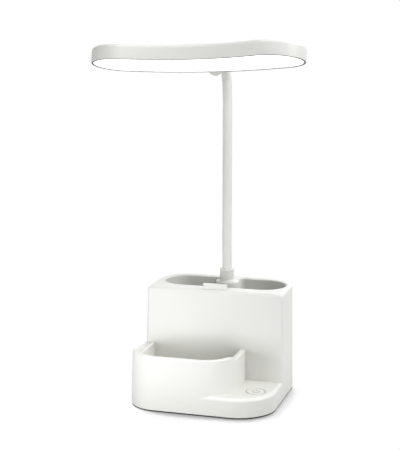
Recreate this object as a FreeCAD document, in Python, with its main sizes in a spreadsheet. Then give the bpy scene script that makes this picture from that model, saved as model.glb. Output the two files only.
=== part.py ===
import FreeCAD, Part
import Sketcher
import math
import os
import re

from FreeCAD import Placement, Rotation, Vector

# A desk lamp on a moulded organiser base: a block with two pen cups, an open tray in front,
# a flexible neck and a long curved light head.
# Millimetres. The origin is the centre of the resting face, +X right, +Y back, +Z up.

SIZES = {
    # base, seen from above with the tray in front
    "base_width": 144.0,
    "base_depth": 146.3,
    "base_height": 108.4,
    "block_depth": 79.7,
    "corner_back": 33.8,
    "corner_left": 30.0,
    "corner_right": 39.0,
    "draft_angle": 1.09,
    "platform_height": 19.8,
    "wall": 2.4,
    "deck": 2.6,
    "block_corner": 2.5,
    "block_edge": 3.0,
    "platform_edge": 3.5,
    # open tray at the front left
    "platform_ledge": 37.4,
    "tray_wall": 5.7,
    "tray_left_wall": 9.7,
    "tray_front_wall": 6.0,
    "tray_corner": 32.0,
    "tray_inner_corner": 22.0,
    "tray_side_height": 50.8,
    "tray_front_height": 54.5,
    "tray_floor_height": 22.0,
    "tray_step": 25.2,
    "tray_step_edge": 3.0,
    "tray_edge": 1.5,
    "tray_foot": 3.0,
    "tray_floor_edge": 3.0,
    # pen cups
    "cup_side_margin": 8.3,
    "cup_back_margin": 11.6,
    "cup_front_margin": 20.2,
    "cup_floor_height": 28.0,
    "cup_skin": 2.2,
    "cup_edge": 1.4,
    "cup_bottom_edge": 4.0,
    "neck_land_radius": 12.3,
    "neck_land_from_back": 25.85,
    "cup_fillet": 5.5,
    # underside
    "pad_thickness": 1.4,
    "pad_inset": 0.4,
    "cover_thickness": 2.2,
    "cover_gap": 0.25,
    # screws, each a shank in a hole that is a little larger
    "screw_radius": 1.25,
    "screw_gap": 0.05,
    "screw_head_radius": 2.4,
    "screw_head_height": 1.4,
    "boss_radius": 4.0,
    "post_radius": 3.0,
    "cover_screw_length": 9.0,
    "small_screw_length": 4.0,
    # pull-up phone rest in the land in front of the cups
    "rest_width": 24.6,
    "rest_thickness": 2.4,
    "rest_length": 58.0,
    "rest_proud": 5.9,
    "rest_front_gap": 5.5,
    "rest_ear": 1.8,
    "rest_ear_height": 4.0,
    "rest_travel": 40.0,
    "rest_gap": 0.3,
    "rest_edge": 0.5,
    "guide_wall": 1.8,
    # power and control
    "board_side_gap": 2.2,
    "board_width": 28.0,
    "board_thickness": 1.6,
    "board_height": 9.0,
    "board_back_gap": 0.5,
    "board_post_inset": 6.0,
    "socket_width": 9.0,
    "socket_depth": 7.4,
    "socket_height": 3.3,
    "socket_edge": 1.2,
    "socket_shell": 0.35,
    "socket_gap": 0.2,
    "socket_recess": 0.3,
    "tongue_width": 6.2,
    "tongue_height": 0.7,
    "plug_length": 6.0,
    "plug_width": 5.0,
    "plug_height": 5.6,
    "lead_radius": 0.9,
    "lead_bend": 6.0,
    "cell_radius": 9.25,
    "cell_length": 65.0,
    "cell_lift": 0.8,
    "cell_from_front": 17.0,
    "cell_right": 15.0,
    "cell_cap_radius": 3.0,
    "cell_cap_height": 1.0,
    "cradle_thickness": 3.0,
    "cradle_half_width": 8.0,
    "cradle_height": 7.0,
    "cradle_spread": 20.0,
    "cell_gap": 0.15,
    "clamp_width": 12.0,
    "clamp_thickness": 1.2,
    "clamp_reach": 16.5,
    "ballast_length": 68.0,
    "ballast_back_gap": 1.6,
    "ballast_thickness": 8.0,
    "ballast_right": 24.0,
    "ballast_from_front": 25.0,
    "ballast_edge": 3.0,
    "touch_from_right": 18.5,
    "touch_from_front": 30.9,
    "touch_board_radius": 12.5,
    "touch_board_thickness": 1.2,
    "touch_drop": 4.3,
    "touch_boss_radius": 2.3,
    "touch_boss_offset": 6.7,
    "electrode_radius": 6.5,
    "electrode_thickness": 0.3,
    "contact_radius": 4.0,
    "icon_radius": 10.0,
    "icon_line": 0.8,
    "icon_thin_line": 0.15,
    "icon_thick_line": 1.5,
    "icon_slant": 30.0,
    "icon_thickness": 0.1,
    "symbol_radius": 3.8,
    "symbol_gap": 1.6,
    # neck
    "neck_from_back": 27.7,
    "neck_swing": -4.5,
    "sleeve_radius": 4.8,
    "hose_radius": 3.0,
    "hose_gap": 0.1,
    "lead_hole_radius": 1.4,
    "ferrule_flange": 9.0,
    "ferrule_radius": 7.25,
    "ferrule_height": 13.1,
    "ferrule_flare": 3.2,
    "ferrule_groove": 0.5,
    "ferrule_lip": 2.0,
    "ferrule_edge": 0.6,
    "stub_radius": 5.0,
    "stub_length": 14.0,
    "stub_gap": 0.1,
    "washer_radius": 7.6,
    "washer_thickness": 1.0,
    "nut_across": 13.0,
    "nut_thickness": 5.0,
    "neck_low_bend": 250.0,
    "neck_low_angle": 3.5,
    "neck_back_bend": 400.0,
    "neck_lean": 0.9,
    "neck_straight": 135.6,
    "neck_high_bend": 150.0,
    "neck_high_angle": 10.0,
    "neck_crook_bend": 20.0,
    "neck_crook_angle": 108.0,
    "neck_tip": 8.2,
    "first_pivot": 12.0,
    "pivot_spacing": 28.8,
    "dome_radius": 5.3,
    "dome_gap": 0.3,
    # light head
    "head_bend": 252.0,
    "head_half_angle": 17.3,
    "head_half_width": 30.5,
    "head_thickness": 15.6,
    "head_tilt": 13.2,
    "head_roll": -2.3,
    "head_wall": 1.8,
    "head_top_edge": 4.0,
    "head_rim": 1.3,
    "head_rim_edge": 0.4,
    "head_ledge": 3.2,
    "diffuser_thickness": 2.0,
    "diffuser_gap": 0.15,
    "diffuser_recess": 0.25,
    "film_thickness": 0.3,
    "led_board_half_width": 9.0,
    "led_board_half_angle": 14.5,
    "led_board_thickness": 1.0,
    "led_boss_height": 2.5,
    "led_boss_radius": 2.4,
    "led_length": 3.5,
    "led_width": 2.8,
    "led_thickness": 0.7,
    "led_row_offset": 5.2,
    "elbow_radius": 6.6,
    "elbow_stem_radius": 5.0,
    "elbow_stand": 12.0,
    "elbow_drop": 1.5,
    "elbow_height": 6.4,
    "elbow_socket": 10.0,
    "elbow_stop": 3.0,
    "elbow_edge": 0.8,
    "spigot_radius": 3.2,
    "spigot_gap": 0.05,
    "ring_radius": 4.0,
    "ring_thickness": 2.6,
    "ring_gap": 0.15,
    "overrun": 1.0,
    "nearness": 0.05,
}

# shares and counts that hold no length
COVER_SCREW_SHARES = ((-0.722, -0.766), (0.472, -0.793), (-0.722, 0.711), (0.722, 0.711))
BALLAST_SCREW_SHARES = (-0.32, 0.32)
LED_BOSS_ANGLE_SHARES = (-0.9, -0.3, 0.3, 0.9)
PIVOTS = 8
LED_COLUMNS = 12
QUARTER_TURN = 90
HALF_TURN = 2 * QUARTER_TURN
FULL_TURN = 2 * HALF_TURN

doc = FreeCAD.newDocument("desk_lamp")
sheet = doc.addObject("Spreadsheet::Sheet", "Sizes")
for row, (alias, value) in enumerate(SIZES.items(), 1):
    sheet.set("A%d" % row, alias)
    sheet.set("B%d" % row, str(value))
    sheet.setAlias("B%d" % row, alias)
doc.recompute()

SUB_PARTS = {}


def size(alias):
    """a size as the sheet holds it"""
    return float(sheet.get(alias))


def formula(text):
    """the text with every named size pointing at its cell"""
    def cell(match):
        word = match.group()
        return "Sizes." + word if word in SIZES else word
    return re.sub(r"[a-z][a-z_]*", cell, text)


def bind(thing, **formulas):
    """ties properties of an object to the sheet, a double underscore standing for a dot"""
    for name, text in formulas.items():
        thing.setExpression(name.replace("__", "."), formula(text))
    return thing


def place(thing, x="0", y="0", z="0"):
    return bind(thing, Placement__Base__x=x, Placement__Base__y=y, Placement__Base__z=z)


def sub_part(node, thing):
    """names a finished piece and keeps it for writing"""
    thing.Label = node
    SUB_PARTS[node] = thing
    return thing


def box(name, length, width, height, x, y, z):
    """a box centred on x and y that stands on z"""
    thing = bind(doc.addObject("Part::Box", name), Length=length, Width=width, Height=height)
    return place(thing, "%s - (%s) / 2" % (x, length), "%s - (%s) / 2" % (y, width), z)


def cylinder(name, radius, height, x, y, z):
    thing = bind(doc.addObject("Part::Cylinder", name), Radius=radius, Height=height)
    return place(thing, x, y, z)


def lying_cylinder(name, radius, length, x, y, z):
    """a cylinder along +X that starts at x"""
    thing = cylinder(name, radius, length, x, y, z)
    thing.Placement = Placement(Vector(), Rotation(Vector(0, 1, 0), QUARTER_TURN))
    return place(thing, x, y, z)


def cut(name, base, tool):
    thing = doc.addObject("Part::Cut", name)
    thing.Base = base
    thing.Tool = tool
    return thing


def fuse(name, pieces):
    thing = doc.addObject("Part::MultiFuse", name)
    thing.Shapes = pieces
    return thing


def group(name, pieces):
    """separate solids kept together as one node"""
    thing = doc.addObject("Part::Compound", name)
    thing.Links = pieces
    return thing


def feature(node, shape, placement=None):
    """a piece whose shape is worked out here from the sheet's sizes"""
    thing = doc.addObject("Part::Feature", node)
    thing.Shape = shape
    if placement is not None:
        thing.Placement = placement
    return sub_part(node, thing)


def screw(name, shank, x, y, z, head_down=False):
    """a screw whose head rests on z, shank the other way"""
    shank_z = z if head_down else "%s - (%s)" % (z, shank)
    head_z = "%s - screw_head_height" % z if head_down else z
    body = cylinder(name + "_shank", "screw_radius", shank, x, y, shank_z)
    head = cylinder(name + "_head", "screw_head_radius", "screw_head_height", x, y, head_z)
    return fuse(name, [body, head])


def new_body(name):
    return doc.addObject("PartDesign::Body", name)


def origin_plane(body, role):
    return next(item for item in body.Origin.OriginFeatures if item.Role == role)


def new_sketch(body, name, role):
    sketch = body.newObject("Sketcher::SketchObject", name)
    sketch.AttachmentSupport = [(origin_plane(body, role), "")]
    sketch.MapMode = "FlatFace"
    return sketch


def point_at(sketch, geometry, x, y):
    """ties the start of a sketch line to two formulas"""
    for kind, text in (("DistanceX", x), ("DistanceY", y)):
        index = sketch.addConstraint(Sketcher.Constraint(kind, -1, 1, geometry, 1, 1.0))
        sketch.setExpression("Constraints[%d]" % index, formula(text))


def profile(body, name, role, corners):
    """a closed outline of straight lines through corners given as pairs of formulas"""
    sketch = new_sketch(body, name, role)
    count = len(corners)
    turn = 2 * math.pi / count
    ring = [Vector(math.cos(k * turn), math.sin(k * turn), 0) for k in range(count)]
    for k in range(count):
        sketch.addGeometry(Part.LineSegment(ring[k], ring[(k + 1) % count]), False)
    for k in range(count):
        sketch.addConstraint(Sketcher.Constraint("Coincident", k, 2, (k + 1) % count, 1))
    for k, (x, y) in enumerate(corners):
        point_at(sketch, k, x, y)
    return sketch


def pad(body, sketch, length):
    thing = body.newObject("PartDesign::Pad", sketch.Name + "_pad")
    thing.Profile = sketch
    return bind(thing, Length=length)


def edge_names(shape, wanted):
    return ["Edge%d" % k for k, edge in enumerate(shape.Edges, 1) if wanted(edge.BoundBox)]


def rounded_edges(body, base, radius, wanted):
    """rounds the edges of a body's feature that the test picks by their box"""
    doc.recompute()
    thing = body.newObject("PartDesign::Fillet", base.Name + "_round")
    thing.Base = (base, edge_names(base.Shape, wanted))
    return bind(thing, Radius=radius)


def upright(box_of_edge):
    return box_of_edge.ZLength > max(box_of_edge.XLength, box_of_edge.YLength)


# outlines of the base

slope = math.tan(math.radians(size("draft_angle")))
half_width = size("base_width") / 2
half_depth = size("base_depth") / 2
block_front = half_depth - size("block_depth")
ceiling = size("platform_height") - size("wall")
cover_top = size("pad_thickness") + size("cover_thickness")
overrun = size("overrun")
nearness = size("nearness")


def rounded_outline(left, right, front, back, radii, height):
    """a rectangle with a corner radius each: front left, front right, back right, back left"""
    front_left, front_right, back_right, back_left = radii
    centres = ((left + front_left, front + front_left), (right - front_right, front + front_right),
               (right - back_right, back - back_right), (left + back_left, back - back_left))
    arcs = []
    for turn, ((x, y), radius) in enumerate(zip(centres, radii)):
        start = HALF_TURN + turn * QUARTER_TURN
        angles = [math.radians(start + step) for step in (0, QUARTER_TURN / 2, QUARTER_TURN)]
        arcs.append([Vector(x + radius * math.cos(a), y + radius * math.sin(a), height) for a in angles])
    edges = []
    for arc, following in zip(arcs, arcs[1:] + arcs[:1]):
        edges.append(Part.Arc(*arc).toShape())
        edges.append(Part.LineSegment(arc[2], following[0]).toShape())
    return Part.Wire(edges)


def footprint(inset, height):
    """the base's outline drawn in by an inset at its height on the drafted sides"""
    side = inset + slope * height
    radii = [size(name) - side for name in ("corner_left", "corner_right", "corner_back", "corner_back")]
    return rounded_outline(side - half_width, half_width - side, side - half_depth, half_depth - side,
                           radii, height)


def envelope(inset, low, high):
    """the base's drafted outer form between two heights"""
    return Part.makeLoft([footprint(inset, low), footprint(inset, high)], True, True)


def behind_front(inset, low, high):
    """everything behind the block's leaning front face"""
    corners = [Vector(-base_reach, block_front + inset + slope * low, low),
               Vector(-base_reach, base_reach, low),
               Vector(-base_reach, base_reach, high),
               Vector(-base_reach, block_front + inset + slope * high, high)]
    side = Part.Face(Part.makePolygon(corners + corners[:1]))
    return side.extrude(Vector(2 * base_reach, 0, 0))


def slab(low, high, front, back):
    """a wide flat block between two heights and two depths"""
    return Part.makeBox(2 * base_reach, back - front, high - low, Vector(-base_reach, front, low))


def edges_where(shape, wanted):
    return [edge for edge in shape.Edges if wanted(edge.BoundBox)]


def near(value, target):
    return abs(value - target) < nearness


def cup_outline(grow, height):
    """the cups' one opening, bent round the land that carries the neck"""
    radius = (size("block_depth") - size("cup_back_margin") - size("cup_front_margin")) / 2
    y = half_depth - size("cup_back_margin") - radius
    x = half_width - size("cup_side_margin") - radius
    land_y = half_depth - size("neck_land_from_back")
    land = size("neck_land_radius")
    fillet = size("cup_fillet")
    fillet_y = y + radius - fillet
    fillet_x = math.sqrt((land + fillet) ** 2 - (fillet_y - land_y) ** 2)
    meet = math.degrees(math.atan2(fillet_y - land_y, fillet_x))

    def arc(cx, cy, r, start, end):
        angles = [math.radians(a) for a in (start, (start + end) / 2, end)]
        points = [Vector(cx + r * math.cos(a), cy + r * math.sin(a), height) for a in angles]
        return Part.Arc(*points).toShape(), points[0], points[2]

    quarter, half = QUARTER_TURN, HALF_TURN
    arcs = [arc(-x, y, radius + grow, quarter, quarter + half),
            arc(x, y, radius + grow, -quarter, quarter),
            arc(fillet_x, fillet_y, fillet + grow, quarter, half + meet),
            arc(0, land_y, land - grow, meet, -half - meet),
            arc(-fillet_x, fillet_y, fillet + grow, -meet, quarter)]
    edges = []
    for (edge, _, end), (_, start, _) in zip(arcs, arcs[1:] + arcs[:1]):
        edges.append(edge)
        if end.distanceToPoint(start) > nearness:
            edges.append(Part.LineSegment(end, start).toShape())
    return Part.Wire(edges)


def cup_solid(grow, low, high):
    return Part.Face(cup_outline(grow, low)).extrude(Vector(0, 0, high - low))


def tray_outline(height):
    """the tray's outside, which runs past the base's left side and into the block"""
    side = slope * height
    corner = size("tray_corner")
    radii = (corner, corner, size("tray_edge"), size("tray_edge"))
    return rounded_outline(-half_width - 2 * corner, half_width - size("platform_ledge") - side,
                           side - half_depth, block_front + size("block_depth") / 2, radii, height)


def tray_hollow():
    """the tray's inside, cut off behind by the block's own front face"""
    radii = (size("tray_inner_corner"), size("tray_corner") - size("tray_wall"),
             size("tray_edge"), size("tray_edge"))
    right = half_width - size("platform_ledge") - slope * size("tray_side_height") - size("tray_wall")
    outline = rounded_outline(size("tray_left_wall") - half_width, right,
                              size("tray_front_wall") - half_depth,
                              block_front + size("block_depth") / 2, radii, size("tray_floor_height"))
    depth = size("tray_front_height") - size("tray_floor_height") + overrun
    hollow = Part.Face(outline).extrude(Vector(0, 0, depth))
    floor = edges_where(hollow, lambda b: near(b.ZMax, size("tray_floor_height")))
    return hollow.makeFillet(size("tray_floor_edge"), floor)


def platform_edge_waste(low):
    """what the platform's rounded top edge takes off its sharp outer form"""
    high = size("platform_height")
    rounded = envelope(0, low, high)
    rounded = rounded.makeFillet(size("platform_edge"), edges_where(rounded, lambda b: near(b.ZMin, high)))
    return envelope(0, high - size("platform_edge") - overrun, high + size("tray_foot")).cut(rounded)


def step_waste():
    """the space above the tray's low side walls, and what the rounded ends of the high wall leave out"""
    high = size("tray_front_height")
    edge = size("tray_step_edge")
    step = size("tray_step") - half_depth
    space = slab(size("tray_side_height"), high + overrun, step, base_reach)
    corner = slab(high - edge, high + overrun, step - edge, step + edge)
    end = Vector(-base_reach, step - edge, high - edge)
    return space.fuse(corner.cut(Part.makeCylinder(edge, 2 * base_reach, end, Vector(1, 0, 0))))


def platform_and_tray(low):
    """platform and tray in one piece: a soft foot round the tray, the front wall higher than the sides"""
    platform = size("platform_height")
    high = size("tray_front_height")
    side_top = size("tray_side_height")
    tray = Part.makeLoft([tray_outline(low), tray_outline(high)], True, True)
    form = slab(low, platform, -base_reach, base_reach).fuse(tray).removeSplitter()
    reach = tray.BoundBox
    reach.enlarge(nearness)
    foot = edges_where(form, lambda b: near(b.ZMin, platform) and near(b.ZMax, platform)
                       and reach.isInside(b))
    form = form.makeFillet(size("tray_foot"), foot).common(envelope(0, low, high))
    form = form.cut(platform_edge_waste(low).cut(tray)).cut(tray_hollow())
    back = block_front + size("tray_inner_corner")
    form = form.cut(slab(low - overrun, high + overrun, back, base_reach))
    rim = edges_where(form, lambda b: near(b.ZMin, high) and b.YMin < back - nearness)
    form = form.makeFillet(size("tray_edge"), rim).cut(step_waste())
    rim = edges_where(form, lambda b: near(b.ZMin, side_top) and near(b.ZMax, side_top)
                      and b.YMin < back - nearness and b.YLength > nearness)
    return form.makeFillet(size("tray_edge"), rim)


def block_solid(low):
    """the tall block, its front corners and top edge rounded"""
    high = size("base_height")
    form = envelope(0, low, high).common(behind_front(0, low, high))
    front = block_front + slope * high + nearness
    form = form.makeFillet(size("block_corner"),
                           edges_where(form, lambda b: b.ZLength > high / 2 and b.YMax < front))
    return form.makeFillet(size("block_edge"), edges_where(form, lambda b: near(b.ZMin, high)))


base_reach = size("base_width")
screw_gap = size("screw_gap")
cover_screws = [(sx * half_width, sy * half_depth) for sx, sy in COVER_SCREW_SHARES]
touch_x = half_width - size("touch_from_right")
touch_y = size("touch_from_front") - half_depth
touch_bosses = [(touch_x + k * size("touch_boss_offset"), touch_y - k * size("touch_boss_offset"))
                for k in (-1, 1)]
neck_y = half_depth - size("neck_from_back")
rest_front = block_front + size("rest_front_gap")


def boss(x, y, radius, low, high, hole_depth):
    """a round boss hanging from above with a screw hole in its lower end"""
    hole = size("screw_radius") + screw_gap
    body = Part.makeCylinder(radius, high - low, Vector(x, y, low))
    return body, Part.makeCylinder(hole, hole_depth, Vector(x, y, low))


def upright_box(x, y, width, depth, low, high):
    """a box centred on x that starts at y"""
    return Part.makeBox(width, depth, high - low, Vector(x - width / 2, y, low))


def rest_guide():
    """the sleeve that the phone rest slides in, and the space inside it"""
    gap = size("rest_gap")
    wall = size("guide_wall")
    top = size("base_height")
    bottom = top + size("rest_proud") - size("rest_length")
    width = size("rest_width") + 2 * gap
    wide = width + 2 * size("rest_ear")
    depth = size("rest_thickness") + 2 * gap
    stop = bottom + size("rest_ear_height") + size("rest_travel") + gap
    front = rest_front - gap
    outside = upright_box(0, front - wall, wide + 2 * wall, depth + 2 * wall, bottom, top - size("deck"))
    narrow = upright_box(0, front, width, depth, bottom - overrun, top + overrun)
    broad = upright_box(0, front, wide, depth, bottom - overrun, stop)
    return outside, narrow.fuse(broad)


def housing():
    low = size("pad_thickness")
    top = size("base_height")
    deck_low = top - size("deck")
    wall = size("wall")
    cup_floor = size("cup_floor_height")
    outside = platform_and_tray(low).fuse(block_solid(low)).removeSplitter()
    hollow = envelope(wall, low - overrun, ceiling)
    upper = envelope(wall, low - overrun, deck_low).common(behind_front(wall, low - overrun, deck_low))
    upper = upper.cut(cup_solid(size("cup_skin"), cup_floor - wall, top))
    hollow = hollow.fuse(upper)
    shell = outside.cut(hollow)
    cups = cup_solid(0, cup_floor, top + overrun)
    cups = cups.makeFillet(size("cup_bottom_edge"), edges_where(cups, lambda b: near(b.ZMax, cup_floor)))
    shell = shell.cut(cups)
    mouth = cups.BoundBox
    mouth.enlarge(nearness)
    rim = edges_where(shell, lambda b: near(b.ZMin, top) and mouth.isInside(b))
    shell = shell.makeFillet(size("cup_edge"), rim)
    solids = []
    holes = []
    for x, y in cover_screws:
        high = ceiling + overrun if y < 0 else cup_floor - wall + overrun
        body, hole = boss(x, y, size("boss_radius"), cover_top, high, size("cover_screw_length"))
        solids.append(body)
        holes.append(hole)
    for x, y in touch_bosses:
        body, hole = boss(x, y, size("touch_boss_radius"), ceiling - size("touch_drop"), ceiling + overrun,
                          size("touch_drop"))
        solids.append(body)
        holes.append(hole)
    guide, slot = rest_guide()
    solids.append(guide)
    holes.append(slot)
    holes.append(Part.makeCylinder(size("stub_radius") + size("stub_gap"), size("deck") + 2 * overrun,
                                   Vector(0, neck_y, deck_low - overrun)))
    gap = size("socket_gap")
    socket = upright_box(0, half_depth - 2 * wall, size("socket_width") + 2 * gap, 3 * wall,
                         board_top - gap, board_top + size("socket_height") + gap)
    holes.append(socket.makeFillet(size("socket_edge"), edges_where(socket, lambda b: b.YLength > wall)))
    return shell.fuse(solids).cut(holes).removeSplitter()


board_top = size("board_height") + size("board_thickness")
feature("base_housing", housing())


# bottom cover with the posts and cradles that carry the electrics, and the pad under it

def cover():
    low = size("pad_thickness")
    plate = envelope(size("wall") + size("cover_gap"), low, cover_top)
    post = size("post_radius")
    hole = size("screw_radius") + screw_gap
    solids = []
    holes = []
    for k in (-1, 1):
        x = k * (board_length / 2 - size("board_post_inset"))
        solids.append(Part.makeCylinder(post, size("board_height") - low, Vector(x, board_y, low)))
        holes.append(Part.makeCylinder(hole, size("board_height"), Vector(x, board_y, cover_top)))
        y = cell_y + k * (size("clamp_reach") - post)
        solids.append(Part.makeCylinder(post, cell_z - low, Vector(cell_x, y, low)))
        holes.append(Part.makeCylinder(hole, cell_z, Vector(cell_x, y, cover_top)))
        rib = Part.makeBox(size("cradle_thickness"), 2 * size("cradle_half_width"), size("cradle_height"),
                           Vector(cell_x + k * size("cradle_spread") - size("cradle_thickness") / 2,
                                  cell_y - size("cradle_half_width"), cover_top))
        solids.append(rib)
    holes.append(Part.makeCylinder(size("cell_radius") + size("cell_gap"), size("cell_length"),
                                   Vector(cell_x - size("cell_length") / 2, cell_y, cell_z),
                                   Vector(1, 0, 0)))
    recess = size("screw_head_height")
    for x, y in cover_screws:
        holes.append(Part.makeCylinder(hole, cover_top, Vector(x, y, 0)))
        holes.append(Part.makeCylinder(size("screw_head_radius") + size("cover_gap"), recess,
                                       Vector(x, y, low)))
    for x in ballast_screws:
        holes.append(Part.makeCylinder(hole, cover_top, Vector(x, ballast_y, 0)))
    return plate.fuse(solids).cut(holes).removeSplitter()


board_length = 2 * (half_width - size("corner_back") - size("board_side_gap"))
board_y = half_depth - size("wall") - size("board_back_gap") - size("board_width") / 2
cell_x = size("cell_right") - size("cell_length") / 2
cell_y = block_front + size("cell_from_front")
cell_z = cover_top + size("cell_lift") + size("cell_radius")
ballast_x = size("ballast_right") - size("ballast_length") / 2
ballast_y = (size("ballast_from_front") - half_depth + block_front - size("ballast_back_gap")) / 2
ballast_screws = [ballast_x + share * size("ballast_length") for share in BALLAST_SCREW_SHARES]
feature("bottom_cover", cover())
feature("anti_slip_pad", envelope(size("pad_inset"), 0, size("pad_thickness")))

COVER_TOP = "(pad_thickness + cover_thickness)"
HALF_WIDTH = "(base_width / 2)"
HALF_DEPTH = "(base_depth / 2)"
CEILING = "(platform_height - wall)"


def screw_group(node, places, shank, z, head_down=False):
    pieces = [screw("%s_%d" % (node, k), shank, x, y, z, head_down) for k, (x, y) in enumerate(places, 1)]
    return sub_part(node, group(node, pieces))


screw_group("bottom_cover_screws",
            [("%s * %s" % (sx, HALF_WIDTH), "%s * %s" % (sy, HALF_DEPTH)) for sx, sy in COVER_SCREW_SHARES],
            "cover_screw_length - screw_gap", "(pad_thickness + screw_head_height)", True)

# steel ballast that keeps the lamp upright when the head leans out

BALLAST_X = "(ballast_right - ballast_length / 2)"
BALLAST_WIDTH = "(base_depth - block_depth - ballast_from_front - ballast_back_gap)"
BALLAST_Y = "(ballast_from_front + %s / 2 - %s)" % (BALLAST_WIDTH, HALF_DEPTH)


def ballast():
    body = new_body("ballast_body")
    left, right = "ballast_right - ballast_length", "ballast_right"
    front = "ballast_from_front - " + HALF_DEPTH
    back = front + " + " + BALLAST_WIDTH
    sketch = profile(body, "ballast_outline", "XY_Plane",
                     [(left, front), (right, front), (right, back), (left, back)])
    plate = pad(body, sketch, "ballast_thickness")
    rounded_edges(body, plate, "ballast_edge", upright)
    place(body, z=COVER_TOP)
    holes = [cylinder("ballast_hole_%d" % k, "screw_radius + screw_gap", "ballast_thickness + 2 * overrun",
                      "%s + %s * ballast_length" % (BALLAST_X, share), BALLAST_Y, COVER_TOP + " - overrun")
             for k, share in enumerate(BALLAST_SCREW_SHARES, 1)]
    return cut("ballast_drilled", body, group("ballast_holes", holes))


sub_part("ballast_plate", ballast())
screw_group("ballast_screws",
            [("%s + %s * ballast_length" % (BALLAST_X, share), BALLAST_Y) for share in BALLAST_SCREW_SHARES],
            "ballast_thickness + cover_thickness - overrun", COVER_TOP + " + ballast_thickness")

# rechargeable cell, its strap and the strap's screws

CELL_Z = "(%s + cell_lift + cell_radius)" % COVER_TOP
CELL_X = "(cell_right - cell_length / 2)"
CELL_Y = "(%s - block_depth + cell_from_front)" % HALF_DEPTH


def cell():
    can = lying_cylinder("cell_can", "cell_radius", "cell_length", "cell_right - cell_length", CELL_Y, CELL_Z)
    cap = lying_cylinder("cell_cap", "cell_cap_radius", "cell_cap_height", "cell_right", CELL_Y, CELL_Z)
    return fuse("cell_whole", [can, cap])


def clamp():
    """a strap over the cell: half a ring with a foot each side"""
    inner = size("cell_radius") + size("cell_gap")
    outer = inner + size("clamp_thickness")
    width = size("clamp_width")
    start = Vector(cell_x - width / 2, cell_y, cell_z)
    ring = Part.makeCylinder(outer, width, start, Vector(1, 0, 0))
    feet = Part.makeBox(width, 2 * size("clamp_reach"), size("clamp_thickness"),
                        start - Vector(0, size("clamp_reach"), 0))
    upper = Part.makeBox(width, 2 * outer, outer, start - Vector(0, outer, 0))
    strap = ring.common(upper).fuse(feet).cut(Part.makeCylinder(inner, width, start, Vector(1, 0, 0)))
    hole = size("screw_radius") + screw_gap
    for k in (-1, 1):
        y = cell_y + k * (size("clamp_reach") - size("post_radius"))
        strap = strap.cut(Part.makeCylinder(hole, outer, Vector(cell_x, y, cell_z - overrun)))
    return strap.removeSplitter()


sub_part("battery_cell", cell())
feature("battery_clamp", clamp())
screw_group("battery_clamp_screws",
            [(CELL_X, "%s + %d * (clamp_reach - post_radius)" % (CELL_Y, k)) for k in (-1, 1)],
            "small_screw_length", CELL_Z + " + clamp_thickness")

# main board with its charging socket and plugs

BOARD_Y = "(%s - wall - board_back_gap - board_width / 2)" % HALF_DEPTH
BOARD_TOP = "(board_height + board_thickness)"
BOARD_LENGTH = "(base_width - 2 * corner_back - 2 * board_side_gap)"
BOARD_POST = "(%s / 2 - board_post_inset)" % BOARD_LENGTH
PLUG_PLACES = (("0", "%s - neck_from_back" % HALF_DEPTH),
               ("cell_right + plug_length + lead_bend", "%s - board_width / 2 + plug_width / 2" % BOARD_Y),
               ("%s / 2 - plug_length / 2" % BOARD_LENGTH, "%s - board_width / 2 + plug_width / 2" % BOARD_Y))


def main_board():
    plate = box("board_plate", BOARD_LENGTH, "board_width", "board_thickness", "0", BOARD_Y, "board_height")
    holes = [cylinder("board_hole_%d" % k, "screw_radius + screw_gap", "board_thickness + 2 * overrun",
                      "%d * %s" % (k, BOARD_POST), BOARD_Y, "board_height - overrun") for k in (-1, 1)]
    return cut("board_drilled", plate, group("board_holes", holes))


def usb_socket():
    """a flat shell open to the back with a contact tongue inside"""
    wall = size("socket_shell")
    width = size("socket_width")
    depth = size("socket_depth")
    height = size("socket_height")
    mouth = half_depth - slope * board_top - size("socket_recess")
    corner = size("socket_edge")
    shell = upright_box(0, mouth - depth, width, depth, board_top, board_top + height)
    shell = shell.makeFillet(corner, edges_where(shell, lambda b: b.YLength > depth / 2))
    space = upright_box(0, mouth - depth + wall, width - 2 * wall, depth, board_top + wall,
                        board_top + height - wall)
    space = space.makeFillet(corner - wall, edges_where(space, lambda b: b.YLength > depth / 2))
    middle = board_top + height / 2
    tongue = upright_box(0, mouth - depth, size("tongue_width"), depth - wall,
                         middle - size("tongue_height") / 2, middle + size("tongue_height") / 2)
    return shell.cut(space).fuse(tongue).removeSplitter()


sub_part("main_board", main_board())
screw_group("board_screws", [("%d * %s" % (k, BOARD_POST), BOARD_Y) for k in (-1, 1)],
            "small_screw_length", BOARD_TOP)
feature("usb_socket", usb_socket())
plugs = [box("lead_plug_%d" % k, "plug_length", "plug_width", "plug_height", x, y, BOARD_TOP)
         for k, (x, y) in enumerate(PLUG_PLACES, 1)]
sub_part("lead_plugs", group("lead_plugs", plugs))


def lead(points, radius, bend):
    """a wire of straight runs joined by tangent arcs"""
    edges = []
    start = points[0]
    for before, corner, after in zip(points, points[1:], points[2:]):
        into = (corner - before).normalize()
        out = (after - corner).normalize()
        reach = bend * math.tan(into.getAngle(out) / 2)
        first = corner - into * reach
        last = corner + out * reach
        middle_way = (out - into).normalize()
        sagitta = bend / math.cos(into.getAngle(out) / 2) - bend
        edges.append(Part.LineSegment(start, first).toShape())
        edges.append(Part.Arc(first, corner + middle_way * sagitta, last).toShape())
        start = last
    edges.append(Part.LineSegment(start, points[-1]).toShape())
    path = Part.Wire(edges)
    ring = Part.Wire(Part.Circle(points[0], points[1] - points[0], radius).toShape())
    return path.makePipeShell([ring], True, False)


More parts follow.
